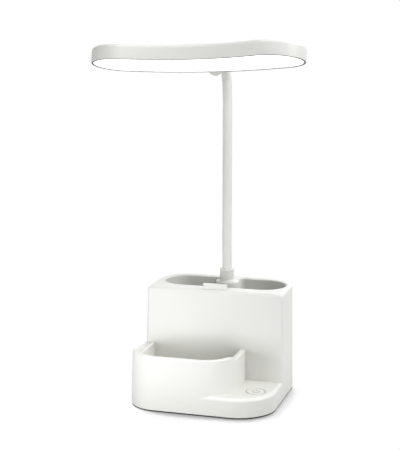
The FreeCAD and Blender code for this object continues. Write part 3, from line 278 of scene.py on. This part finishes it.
def bean(reach, height):
    """for each reach and height, a ring of points round the bean

    the outer side is an arc of the bend's radius plus the reach, the inner side one of the bend's radius
    less the reach, and each end is a half circle with the reach as its radius
    """
    reach = np.asarray(reach, float)[:, None]
    height = np.asarray(height, float)[:, None]
    half = math.radians(HEAD_HALF_ANGLE)
    sweep = np.linspace(-half, half, ARC_POINTS + 1)[None, :-1]
    swing = np.linspace(0, math.pi, END_POINTS + 1)[None, :-1]
    outer_x = (HEAD_BEND + reach) * np.sin(sweep)
    outer_y = (HEAD_BEND + reach) * np.cos(sweep)
    inner_x = (HEAD_BEND - reach) * np.sin(-sweep)
    inner_y = (HEAD_BEND - reach) * np.cos(sweep)
    right_x = HEAD_BEND * math.sin(half) + reach * np.sin(half + swing)
    right_y = HEAD_BEND * math.cos(half) + reach * np.cos(half + swing)
    left_x = -HEAD_BEND * math.sin(half) - reach * np.sin(half - swing + math.pi)
    left_y = HEAD_BEND * math.cos(half) + reach * np.cos(half - swing + math.pi)
    x = np.concatenate([outer_x, right_x, inner_x, left_x], axis=1)
    y = np.concatenate([outer_y, right_y, inner_y, left_y], axis=1) - HEAD_BEND
    return np.stack([x, y, np.broadcast_to(height, x.shape)], axis=2)


def in_head(points):
    """from the head's own frame to the row frame"""
    return points @ HEAD_TURN.T + HEAD_PLACE


print("head", np.ptp(bean([HEAD_REACH], [0.0])[0], axis=0)[:2].round(1), "mm")

# %% [markdown]
# The cover's top swells by half a millimetre and rolls into the side wall along a quarter of an ellipse.
# The wall's lower edge turns in as a narrow lip, and the section comes back up the inside, so the cover
# is a closed shell with a wall.

# %% Cover
TOP, CROWN, TOP_ROLL, TOP_EDGE = 15.6, 0.5, 4.0, 4.2
LIP, LIP_DEPTH, INSIDE, WALL = 28.4, 2.3, 27.3, 1.8
TOP_FLAT = HEAD_REACH - TOP_ROLL
crown = np.linspace(0, TOP_FLAT - 1.0, 14)
cover_top = np.stack([crown, TOP - CROWN * (crown / TOP_FLAT) ** 2], axis=1)
bend = np.linspace(0, math.pi / 2, 12)
roll = np.stack([TOP_FLAT + TOP_ROLL * np.sin(bend), TOP - CROWN - TOP_EDGE + TOP_EDGE * np.cos(bend)],
                axis=1)
rim = rounded_profile([(HEAD_REACH, 0.0, 0.35), (LIP, 0.0, 0.25), (LIP, LIP_DEPTH, 0.1),
                       (INSIDE, LIP_DEPTH, 0.2), (INSIDE, TOP - WALL, 0.6)], steps=5)
side_wall = [[HEAD_REACH, 6.0], [HEAD_REACH, 3.0], [HEAD_REACH, 1.2]]
section = np.concatenate([cover_top, roll, side_wall, rim,
                          [[20.0, TOP - WALL], [10.0, TOP - WALL], [0.0, TOP - WALL]]])
cover = surface("cover", in_head(bean(section[:, 0], section[:, 1])))
crease(cover, 40)
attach(cover, "head")
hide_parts("head_cover")

# %% [markdown]
# The plate sits a little inside the lip. Its face is nearly flat: its distance from the lip's plane is
# the recess less the fullness times 1 - (reach / plate)^4.

# %% Diffuser
PLATE, RECESS, FULLNESS, PLATE_BACK = LIP - 0.12, 0.45, 0.3, 2.25
sag = np.linspace(0, PLATE - 0.6, 24)
glow = np.stack([sag, RECESS - FULLNESS * (1 - (sag / PLATE) ** 4)], axis=1)
edge = rounded_profile([(PLATE, RECESS, 0.4), (PLATE, PLATE_BACK, 0.2)], steps=5)[:10]
section = np.concatenate([glow, edge, [[20.0, PLATE_BACK], [10.0, PLATE_BACK], [0.0, PLATE_BACK]]])
diffuser = surface("diffuser", in_head(bean(section[:, 0], section[:, 1])))
crease(diffuser, 40)
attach(diffuser, "head")
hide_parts("head_diffuser")

# %% [markdown]
# A thin grey ring lies under the lip, all round the plate. It is painted shade for the lip's underside in
# shadow, and draws the dark line round the light. It is a flat ring, 0.15 mm proud.

# %% Painted shade ring under the lip
SHADE_RING_IN, SHADE_RING_OUT, SHADE_RING_TOP, SHADE_RING_FACE = 28.5, 30.1, 0.1, -0.15
ring = rounded_profile([(SHADE_RING_IN, SHADE_RING_TOP, 0.05), (SHADE_RING_IN, SHADE_RING_FACE, 0.05), (SHADE_RING_OUT, SHADE_RING_FACE, 0.05),
                        (SHADE_RING_OUT, SHADE_RING_TOP, 0.05)], steps=3)
# painted shade: a dark ring where the lip's underside lies in shadow
painted_shade_ring = surface("painted_shade_ring", in_head(bean(ring[:, 0], ring[:, 1])), along=True)
crease(painted_shade_ring, 40)
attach(painted_shade_ring, "head")

# %% [markdown]
# ## The knee
# A moulded knee joins the neck to the head. It grows out of the head's back wall as a stem, swells into
# a ball and ends in a socket that takes the sleeve. Its middle line runs from the socket's mouth to the
# ball and on to the wall, with the bend at the ball eased. Rings follow that line: their radius is that
# of the socket, falls to a waist behind the ball and swells again where the stem meets the wall.

# %% The knee's middle line
SOCKET, SOCKET_FLOOR, SOCKET_BORE, EASE = 10.0, 2.6, 4.95, 3.0
KNEE, WAIST, SWELL, MOUTH_EDGE = 6.6, 1.5, 1.1, 0.7
WAIST_FROM, WAIST_TO, SWELL_FROM, MOUTH_ROUND = 10.5, 16.0, 18.5, 0.9
BALL_IN_HEAD, WALL_IN_HEAD = np.array([0.0, 42.5, 4.9]), np.array([0.0, 29.9, 6.4])
mouth = neck_line(np.array([NECK_END - SOCKET]))[0][0]
corner, root = in_head(BALL_IN_HEAD), in_head(WALL_IN_HEAD)
to_mouth = (mouth - corner) / np.linalg.norm(mouth - corner)
to_root = (root - corner) / np.linalg.norm(root - corner)
straight = np.linspace(0, 1, 16)[:, None]
curve = np.linspace(0, 1, 10)[1:-1, None]
first, last = corner + EASE * to_mouth, corner + EASE * to_root
line = np.concatenate([mouth + straight * (first - mouth),
                       (1 - curve) ** 2 * first + 2 * curve * (1 - curve) * corner + curve ** 2 * last,
                       last + straight * (root - last)])
ahead = np.gradient(line, axis=0)
ahead /= np.linalg.norm(ahead, axis=1)[:, None]
run = np.concatenate([[0], np.cumsum(np.linalg.norm(np.diff(line, axis=0), axis=1))])
knee_bend = math.degrees(math.acos(-to_mouth @ to_root))
print("the knee's line is %.1f mm long and bends by %.0f degrees" % (run[-1], knee_bend))

# %% [markdown]
# The knee starts inside: from the socket's floor its bore runs out to the mouth, and from there the
# rings of the outside follow the line to the wall. The radius changes along a smooth step, t^2 (3 - 2t).

# %% A smooth knee with a socket
def eased(value, low, high):
    """nought below low, one above high, and a smooth slope between"""
    t = np.clip((value - low) / (high - low), 0, 1)
    return t * t * (3 - 2 * t)


radius = KNEE - WAIST * eased(run, WAIST_FROM, WAIST_TO) + SWELL * eased(run, SWELL_FROM, run[-1]) ** 2
radius -= MOUTH_EDGE * np.clip(1 - run / MOUTH_ROUND, 0, 1) ** 2
side = ACROSS - (ahead @ ACROSS)[:, None] * ahead
side /= np.linalg.norm(side, axis=1)[:, None]
over = np.cross(ahead, side)
spokes = np.cos(turn)[None, :, None] * side[:, None] + np.sin(turn)[None, :, None] * over[:, None]
skin = line[:, None] + spokes * radius[:, None, None]
bore = tube_rings(np.linspace(NECK_END - SOCKET_FLOOR, NECK_END - SOCKET, 8), np.full(8, SOCKET_BORE))
middles = [np.broadcast_to(ring.mean(axis=0), (1, len(turn), 3)) for ring in (bore[0], skin[-1])]
knee = surface("knee", np.concatenate([middles[0], bore, skin, middles[1]]))
crease(knee, 45)
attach(knee, "head")
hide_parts("head_elbow")

# %% [markdown]
# ## Effects for the finishes
# A finish is never one flat colour. A node group makes one effect and hands it on, so that many
# materials can share it with values of their own. A group only puts out colours, values and normals,
# and the shader stays in the material. First come a few short words for making nodes.

# %% Words for node trees
def new_group(name, inputs, outputs):
    group = bpy.data.node_groups.new(name, "ShaderNodeTree")
    for label, kind, value in inputs:
        socket = group.interface.new_socket(label, in_out="INPUT", socket_type="NodeSocket" + kind)
        socket.default_value = value
    for label, kind in outputs:
        group.interface.new_socket(label, in_out="OUTPUT", socket_type="NodeSocket" + kind)
    print("effect %-13s takes" % name, ", ".join(label for label, _, _ in inputs))
    return group, group.nodes.new("NodeGroupInput"), group.nodes.new("NodeGroupOutput")


def node(group, kind, **values):
    made = group.nodes.new("ShaderNode" + kind)
    for key, value in values.items():
        if key in made.inputs:
            made.inputs[key].default_value = value
        else:
            setattr(made, key, value)
    return made


def maths(group, operation, a, b):
    """one sum on values; a and b are sockets or numbers"""
    made = group.nodes.new("ShaderNodeMath")
    made.operation = operation
    for socket, value in zip(made.inputs, (a, b)):
        if hasattr(value, "node"):
            group.links.new(value, socket)
        else:
            socket.default_value = value
    return made.outputs[0]


def mixed(group, factor, a, b, how="MIX"):
    """two colours mixed by a factor"""
    made = group.nodes.new("ShaderNodeMix")
    made.data_type, made.blend_type = "RGBA", how
    for index, value in ((0, factor), (6, a), (7, b)):
        if hasattr(value, "node"):
            group.links.new(value, made.inputs[index])
        else:
            made.inputs[index].default_value = value
    return made.outputs[2]


# %% [markdown]
# Moulded plastic has the fine grain of its mould, and its colour and shine drift a little from place to
# place. Two noises do that: a wide one for the drift, a fine one for a bump of a tenth of a millimetre.

# %% The grain of a mould
def moulded_group():
    """colour that drifts a little, and the fine grain of a mould"""
    group, start, end = new_group("moulded", (("Colour", "Color", (0.8, 0.8, 0.8, 1)),
                                              ("Roughness", "Float", 0.4), ("Grain", "Float", 0.05),
                                              ("Size", "Float", 2600.0)),
                                  (("Colour", "Color"), ("Roughness", "Float"), ("Normal", "Vector")))
    link = group.links.new
    place = node(group, "TexCoord").outputs["Object"]
    wide = node(group, "TexNoise", Scale=14.0, Detail=2.0)
    fine = node(group, "TexNoise", Detail=3.0)
    link(place, wide.inputs["Vector"])
    link(place, fine.inputs["Vector"])
    link(start.outputs["Size"], fine.inputs["Scale"])
    drift = maths(group, "MULTIPLY", maths(group, "SUBTRACT", wide.outputs["Fac"], 0.5), 0.05)
    darker = mixed(group, 1.0, start.outputs["Colour"], (0.965, 0.965, 0.955, 1), "MULTIPLY")
    link(mixed(group, maths(group, "ADD", drift, 0.25), start.outputs["Colour"], darker),
         end.inputs["Colour"])
    rough = maths(group, "ADD", start.outputs["Roughness"], drift)
    link(maths(group, "ADD", rough, maths(group, "MULTIPLY", fine.outputs["Fac"], 0.06)),
         end.inputs["Roughness"])
    bump = node(group, "Bump", Distance=0.0001)
    link(start.outputs["Grain"], bump.inputs["Strength"])
    link(fine.outputs["Fac"], bump.inputs["Height"])
    link(bump.outputs["Normal"], end.inputs["Normal"])
    return group


GROUPS = {"moulded": moulded_group()}

# %% [markdown]
# Turned or rolled metal shows fine lines where the tool went, and small dull spots. Waves across the
# upright make the lines, and a noise makes the spots.

# %% Tool lines on metal
def turned_metal_group():
    """fine lines across a direction, as a tool leaves them, and small spots of dullness"""
    group, start, end = new_group("turned_metal", (("Colour", "Color", (0.6, 0.6, 0.6, 1)),
                                                   ("Roughness", "Float", 0.3),
                                                   ("Pitch", "Float", 900.0)),
                                  (("Colour", "Color"), ("Roughness", "Float"), ("Normal", "Vector")))
    link = group.links.new
    place = node(group, "TexCoord").outputs["Object"]
    lines = node(group, "TexWave", bands_direction="Z", Distortion=0.6, Detail=1.0)
    link(place, lines.inputs["Vector"])
    link(start.outputs["Pitch"], lines.inputs["Scale"])
    spots = node(group, "TexNoise", Scale=320.0, Detail=4.0)
    link(place, spots.inputs["Vector"])
    link(mixed(group, maths(group, "MULTIPLY", spots.outputs["Fac"], 0.35), start.outputs["Colour"],
               (0.35, 0.34, 0.33, 1)), end.inputs["Colour"])
    link(maths(group, "ADD", start.outputs["Roughness"],
               maths(group, "MULTIPLY", spots.outputs["Fac"], 0.18)), end.inputs["Roughness"])
    bump = node(group, "Bump", Strength=0.15, Distance=0.00005)
    link(lines.outputs["Fac"], bump.inputs["Height"])
    link(bump.outputs["Normal"], end.inputs["Normal"])
    return group


GROUPS["metal"] = turned_metal_group()

# %% [markdown]
# Foam is all pores. Near a cell's point lies the pore, dark and deep, and further away its light wall.

# %% The pores of foam
def foam_group():
    """pores of a closed-cell foam"""
    group, start, end = new_group("foam", (("Colour", "Color", (0.05, 0.05, 0.05, 1)),),
                                  (("Colour", "Color"), ("Roughness", "Float"), ("Normal", "Vector")))
    link = group.links.new
    place = node(group, "TexCoord").outputs["Object"]
    pores = node(group, "TexVoronoi", Scale=1400.0)
    link(place, pores.inputs["Vector"])
    link(mixed(group, pores.outputs["Distance"], (0.02, 0.02, 0.02, 1), start.outputs["Colour"]),
         end.inputs["Colour"])
    link(maths(group, "ADD", 0.8, maths(group, "MULTIPLY", pores.outputs["Distance"], 0.15)),
         end.inputs["Roughness"])
    bump = node(group, "Bump", Strength=0.4, Distance=0.0002)
    link(pores.outputs["Distance"], bump.inputs["Height"])
    link(bump.outputs["Normal"], end.inputs["Normal"])
    return group


GROUPS["foam"] = foam_group()

# %% [markdown]
# A circuit board has lighter tracks under its green or white mask. The edges between cells, where they
# are near, draw such a net of lines, raised by a few hundredths of a millimetre.

# %% The tracks of a board
def board_group():
    """solder mask with lighter tracks under it"""
    group, start, end = new_group("board", (("Mask", "Color", (0.01, 0.12, 0.05, 1)),
                                            ("Track", "Color", (0.03, 0.2, 0.09, 1)),
                                            ("Pitch", "Float", 260.0)),
                                  (("Colour", "Color"), ("Roughness", "Float"), ("Normal", "Vector")))
    link = group.links.new
    place = node(group, "TexCoord").outputs["Object"]
    cells = node(group, "TexVoronoi", feature="DISTANCE_TO_EDGE")
    link(place, cells.inputs["Vector"])
    link(start.outputs["Pitch"], cells.inputs["Scale"])
    track = maths(group, "LESS_THAN", cells.outputs["Distance"], 0.06)
    link(mixed(group, track, start.outputs["Mask"], start.outputs["Track"]), end.inputs["Colour"])
    link(maths(group, "ADD", 0.3, maths(group, "MULTIPLY", track, 0.1)), end.inputs["Roughness"])
    bump = node(group, "Bump", Strength=0.3, Distance=0.00005)
    link(track, bump.inputs["Height"])
    link(bump.outputs["Normal"], end.inputs["Normal"])
    return group


GROUPS["board"] = board_group()

# %% [markdown]
# ## Finishes
# Each finish is one material: an effect from above, and a few fixed values on the shader itself. In its
# hollows, as in the cups, the white plastic gets painted shade: its colour turns darker and warmer by how
# much is hidden around it.

# %% How a finish is made
def painted_shade_in_hollows(tree, colour, strength):
    """painted shade: the colour goes towards a warm grey by how much of the sky within 45 mm is hidden"""
    hidden = node(tree, "AmbientOcclusion", Distance=0.045)
    hidden.samples = 8
    amount = maths(tree, "MULTIPLY", maths(tree, "SUBTRACT", 1.0, hidden.outputs["AO"]), strength)
    # painted shade: the warm grey that hidden places turn to
    return mixed(tree, amount, colour, (0.42, 0.395, 0.345, 1))


def finish(name, effect, constants=None, painted_hollow_shade=0.0, **inputs):
    """a material whose colour, roughness and normal come from one effect, with painted shade in its
    hollows if asked
    """
    material = bpy.data.materials.new(name)
    material.use_nodes = True
    tree = material.node_tree
    shader = tree.nodes["Principled BSDF"]
    use = tree.nodes.new("ShaderNodeGroup")
    use.node_tree = GROUPS[effect]
    for key, value in inputs.items():
        use.inputs[key].default_value = (*value, 1) if isinstance(value, tuple) else value
    colour = use.outputs["Colour"]
    # painted shade in the hollows, if asked
    if painted_hollow_shade:
        colour = painted_shade_in_hollows(tree, colour, painted_hollow_shade)
    tree.links.new(colour, shader.inputs["Base Color"])
    tree.links.new(use.outputs["Roughness"], shader.inputs["Roughness"])
    tree.links.new(use.outputs["Normal"], shader.inputs["Normal"])
    for key, value in (constants or {}).items():
        shader.inputs[key].default_value = value
    return material


# %% [markdown]
# The shell is white ABS from a finely eroded mould, with the soft shine of such plastic. The rest is
# what such lamps are made of: silicone over the neck, zinc plate, steel, copper, nylon and foam inside.

# %% One finish for each kind of part
METAL = {"Metallic": 1.0}
# strength of the painted shade in the shell's hollows
PAINTED_HOLLOW_SHADE = 0.5
FINISH = {
    "shell": finish("white_abs", "moulded", painted_hollow_shade=PAINTED_HOLLOW_SHADE, Colour=(0.858, 0.866, 0.838), Roughness=0.40,
                    Grain=0.12),
    "pad": finish("foam_pad", "foam", Colour=(0.075, 0.075, 0.08)),
    # painted shade: the grey of the ring standing for the shadow under the head's lip
    "painted_shade_ring": finish("painted_shade_grey", "foam", Colour=(0.25, 0.25, 0.245)),
    "mark": finish("grey_print", "moulded", Colour=(0.44, 0.45, 0.445), Roughness=0.5),
    "steel": finish("zinc_plate", "metal", METAL, Colour=(0.62, 0.62, 0.6), Roughness=0.32),
    "screw": finish("screw_steel", "metal", METAL, Colour=(0.55, 0.55, 0.54), Roughness=0.28,
                    Pitch=1600.0),
    "cell": finish("cell_wrap", "moulded", Colour=(0.05, 0.19, 0.36), Roughness=0.3, Grain=0.03,
                   Size=500.0),
    "board": finish("solder_mask", "board"),
    "socket": finish("socket_shell", "metal", METAL, Colour=(0.66, 0.66, 0.64), Roughness=0.25),
    "connector": finish("plug_nylon", "moulded", Colour=(0.78, 0.76, 0.7), Roughness=0.45),
    "lead": finish("lead_jacket", "moulded", Colour=(0.45, 0.03, 0.03), Roughness=0.42, Grain=0.08,
                   Size=900.0),
    "copper": finish("copper_foil", "metal", METAL, Colour=(0.78, 0.42, 0.26), Roughness=0.3),
    "foam": finish("contact_foam", "foam", Colour=(0.16, 0.16, 0.17)),
    "ferrule": finish("satin_abs", "moulded", Colour=(0.80, 0.81, 0.775), Roughness=0.3, Grain=0.04),
    "sleeve": finish("silicone", "moulded", {"Sheen Weight": 0.15, "Sheen Roughness": 0.6},
                     Colour=(0.835, 0.843, 0.80), Roughness=0.48, Grain=0.1, Size=1800.0),
    "hose": finish("wound_steel", "metal", METAL, Colour=(0.5, 0.5, 0.49), Roughness=0.35, Pitch=420.0),
    "film": finish("reflector_white", "moulded", Colour=(0.92, 0.92, 0.92), Roughness=0.35),
    "led_board": finish("white_mask", "board", Mask=(0.85, 0.85, 0.84), Track=(0.8, 0.79, 0.74)),
    "chip": finish("chip_phosphor", "moulded", Colour=(0.9, 0.75, 0.2), Roughness=0.35),
}
print("finishes:", len(FINISH))

# %% [markdown]
# The plate of the head is milky acrylic with the light chips behind it. It glows evenly, and just strong
# enough that the camera finds it white.

# %% The glowing plate
GLOW = 1.1


def glow_finish():
    """milky acrylic, lit from behind"""
    material = bpy.data.materials.new("milky_acrylic")
    material.use_nodes = True
    tree = material.node_tree
    shader = tree.nodes["Principled BSDF"]
    use = tree.nodes.new("ShaderNodeGroup")
    use.node_tree = GROUPS["moulded"]
    use.inputs["Colour"].default_value = (0.9, 0.9, 0.9, 1)
    use.inputs["Roughness"].default_value = 0.3
    tree.links.new(use.outputs["Colour"], shader.inputs["Base Color"])
    tree.links.new(use.outputs["Roughness"], shader.inputs["Roughness"])
    tree.links.new(use.outputs["Normal"], shader.inputs["Normal"])
    tree.links.new(use.outputs["Colour"], shader.inputs["Emission Color"])
    shader.inputs["Emission Strength"].default_value = GLOW
    return material


FINISH["diffuser"] = glow_finish()
print("finishes with the plate's:", len(FINISH))

# %% [markdown]
# Every piece that comes from CAD takes its finish by its name, and each new piece takes the one of the
# part it stands for.

# %% Each piece gets its finish
SLOT_OF = {"anti_slip_pad": "pad", "touch_icon": "mark", "ballast_plate": "steel", "neck_washer": "steel",
           "neck_nut": "steel", "battery_clamp": "steel", "battery_cell": "cell", "main_board": "board",
           "touch_board": "board", "usb_socket": "socket", "lead_plugs": "connector",
           "battery_lead": "lead", "touch_lead": "lead", "lamp_lead": "lead", "head_lead": "lead",
           "touch_electrode": "copper", "touch_contact": "foam", "neck_ferrule": "ferrule",
           "reflector_film": "film", "led_board": "led_board", "leds": "chip", "elbow_ring": "steel",
           "head_diffuser": "diffuser"}


def slot_of(name):
    """the finish of a CAD piece, from its name"""
    if "screws" in name:
        return "screw"
    for start, slot in (("neck_sleeve", "sleeve"), ("neck_hose", "hose")):
        if name.startswith(start):
            return slot
    return SLOT_OF.get(name, "shell")


for name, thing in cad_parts.items():
    thing.data.materials.clear()
    thing.data.materials.append(FINISH[slot_of(name)])
NEW_PIECES = [(sleeve, "sleeve") for sleeve in sleeves] + [
    (ferrule, "ferrule"), (cover, "shell"), (diffuser, "diffuser"), (painted_shade_ring, "painted_shade_ring"), (knee, "shell")]
for thing, slot in NEW_PIECES:
    thing.data.materials.append(FINISH[slot])
print("dressed:", len(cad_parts), "pieces from CAD and", len(NEW_PIECES), "new ones")

# %% [markdown]
# ## Floor, light and world
# The photograph was taken on white, with large soft lamps. The floor shows the camera and mirrors
# plain white, darkened only where the base shades it, and gives the object an ordinary pale bounce.
# The shade is looked for towards the back and the left, so it lies in front of the base and on its
# right, as light from behind throws it. Where less than SHADE_FROM of that sky is open the floor begins
# to darken, at SHADE_FULL it is darkest, and three centimetres away nothing is hidden any more.

# %% Floor
SHADE, SHADE_POWER, SHADE_REACH = 0.87, 0.5, 0.03
SHADE_FROM, SHADE_FULL = 0.55, 0.20
SHADE_TOWARDS = (-0.45, 0.69, 0.57)


def seen_white(tree):
    """one for the rays that should find plain white: from the camera, mirrored or let through"""
    ray = node(tree, "LightPath").outputs
    mirrored = maths(tree, "MAXIMUM", ray["Is Glossy Ray"], ray["Is Transmission Ray"])
    return maths(tree, "MAXIMUM", ray["Is Camera Ray"], mirrored)


def white_floor():
    """a large flat sheet that mixes a pale matt floor with the white one that the camera finds"""
    mesh = bpy.data.meshes.new("floor")
    mesh.from_pydata([(-6, -4, 0), (6, -4, 0), (6, 14, 0), (-6, 14, 0)], [], [(0, 1, 2, 3)])
    floor = bpy.data.objects.new("floor", mesh)
    scene.collection.objects.link(floor)
    material = bpy.data.materials.new("white_paper")
    material.use_nodes = True
    tree = material.node_tree
    tree.nodes.clear()
    link = tree.links.new
    out = tree.nodes.new("ShaderNodeOutputMaterial")
    plain = node(tree, "BsdfDiffuse", Color=(0.4, 0.4, 0.4, 1))
    shade = node(tree, "AmbientOcclusion", Distance=SHADE_REACH)
    shade.samples = 16
    toward = node(tree, "CombineXYZ", **dict(zip("XYZ", SHADE_TOWARDS)))
    link(toward.outputs[0], shade.inputs["Normal"])
    ramp = node(tree, "MapRange", **{"From Min": SHADE_FROM, "From Max": SHADE_FULL})
    link(shade.outputs["AO"], ramp.inputs["Value"])
    hidden = maths(tree, "POWER", ramp.outputs["Result"], SHADE_POWER)
    glow = node(tree, "Emission", Color=(1, 1, 1, 1))
    link(maths(tree, "SUBTRACT", 1.0, maths(tree, "MULTIPLY", hidden, SHADE)), glow.inputs["Strength"])
    pick = node(tree, "MixShader")
    link(seen_white(tree), pick.inputs["Fac"])
    link(plain.outputs[0], pick.inputs[1])
    link(glow.outputs[0], pick.inputs[2])
    link(pick.outputs[0], out.inputs["Surface"])
    mesh.materials.append(material)
    print("floor: shade of %.0f mm in front of the base" % (SHADE_REACH / MM))


white_floor()

# %% [markdown]
# The lamps are round soft areas. Two low ones close in front brighten the tray more than the block
# behind it, large ones on the right and behind give the sides their shade, and one over the head rounds
# its upper edge. Their powers, in watts, come from pictures with one lamp each, weighed so that each
# surface has the brightness of the real one.

# %% Lamps
def lamp(name, place, target, size, power):
    """a round area lamp at a place, facing a target; metres and watts"""
    light = bpy.data.lights.new(name, "AREA")
    light.shape, light.size, light.energy = "DISK", size, power
    thing = bpy.data.objects.new(name, light)
    thing.location = place
    thing.rotation_euler = (Vector(target) - Vector(place)).to_track_quat("-Z", "Y").to_euler()
    scene.collection.objects.link(thing)
    print("lamp %-10s %5.2f W" % (name, power))


lamp("right", (2.457, 0, 1.721), (0, 0, 0.12), 1.8, 59.51)
lamp("back", (0, 2.457, 1.721), (0, 0, 0.12), 1.8, 23.37)
lamp("over head", (0, -0.25, 0.80), (0, 0, 0.30), 0.4, 1.74)
lamp("low left", (-0.20, -0.36, 0.04), (0, 0, 0.05), 0.22, 1.05)
lamp("low front", (0.05, -0.33, 0.03), (0, 0, 0.05), 0.22, 0.22)

# %% [markdown]
# The world is a weak, slightly warm light from all sides, and plain white where the camera or a mirror
# looks at it.

# %% World
WORLD_LIGHT, WORLD_SEEN = 0.15, 1.0
world = bpy.data.worlds.new("studio")
scene.world = world
world.use_nodes = True
tree = world.node_tree
tree.nodes.clear()
out = tree.nodes.new("ShaderNodeOutputWorld")
soft = node(tree, "Background", Color=(1.0, 0.98, 0.94, 1), Strength=WORLD_LIGHT)
white = node(tree, "Background", Color=(1, 1, 1, 1), Strength=WORLD_SEEN)
pick = node(tree, "MixShader")
tree.links.new(seen_white(tree), pick.inputs["Fac"])
tree.links.new(soft.outputs[0], pick.inputs[1])
tree.links.new(white.outputs[0], pick.inputs[2])
tree.links.new(pick.outputs[0], out.inputs["Surface"])
print("world: %.2f as a light, %.2f where it is seen" % (WORLD_LIGHT, WORLD_SEEN))

# %% [markdown]
# ## Camera
# The camera was fitted to the straight edges and corners of the base in the photograph: it stands a
# little to the right, somewhat above the head, and looks slightly down. Its place is in metres.

# %% Camera
AZIMUTH, PITCH, ROLL = (math.radians(a) for a in (16.31, 9.494, 0.327))
STAND, LENS, SENSOR = (0.3152, -1.1328, 0.3706), 95.9, 36.0
forward = Vector((-math.sin(AZIMUTH) * math.cos(PITCH), math.cos(AZIMUTH) * math.cos(PITCH),
                  -math.sin(PITCH)))
right = Vector((math.cos(AZIMUTH), math.sin(AZIMUTH), 0))
up = right.cross(forward)
right, up = (math.cos(ROLL) * right + math.sin(ROLL) * up, math.cos(ROLL) * up - math.sin(ROLL) * right)
camera = bpy.data.objects.new("camera", bpy.data.cameras.new("camera"))
camera.data.lens, camera.data.sensor_width, camera.data.sensor_fit = LENS, SENSOR, "AUTO"
turned = Matrix((right, up, -forward)).transposed().to_4x4()
camera.matrix_world = Matrix.Translation(STAND) @ turned
scene.collection.objects.link(camera)
scene.camera = camera
scene.view_settings.view_transform = "Standard"
print("camera at", STAND, "with a lens of", LENS, "mm")
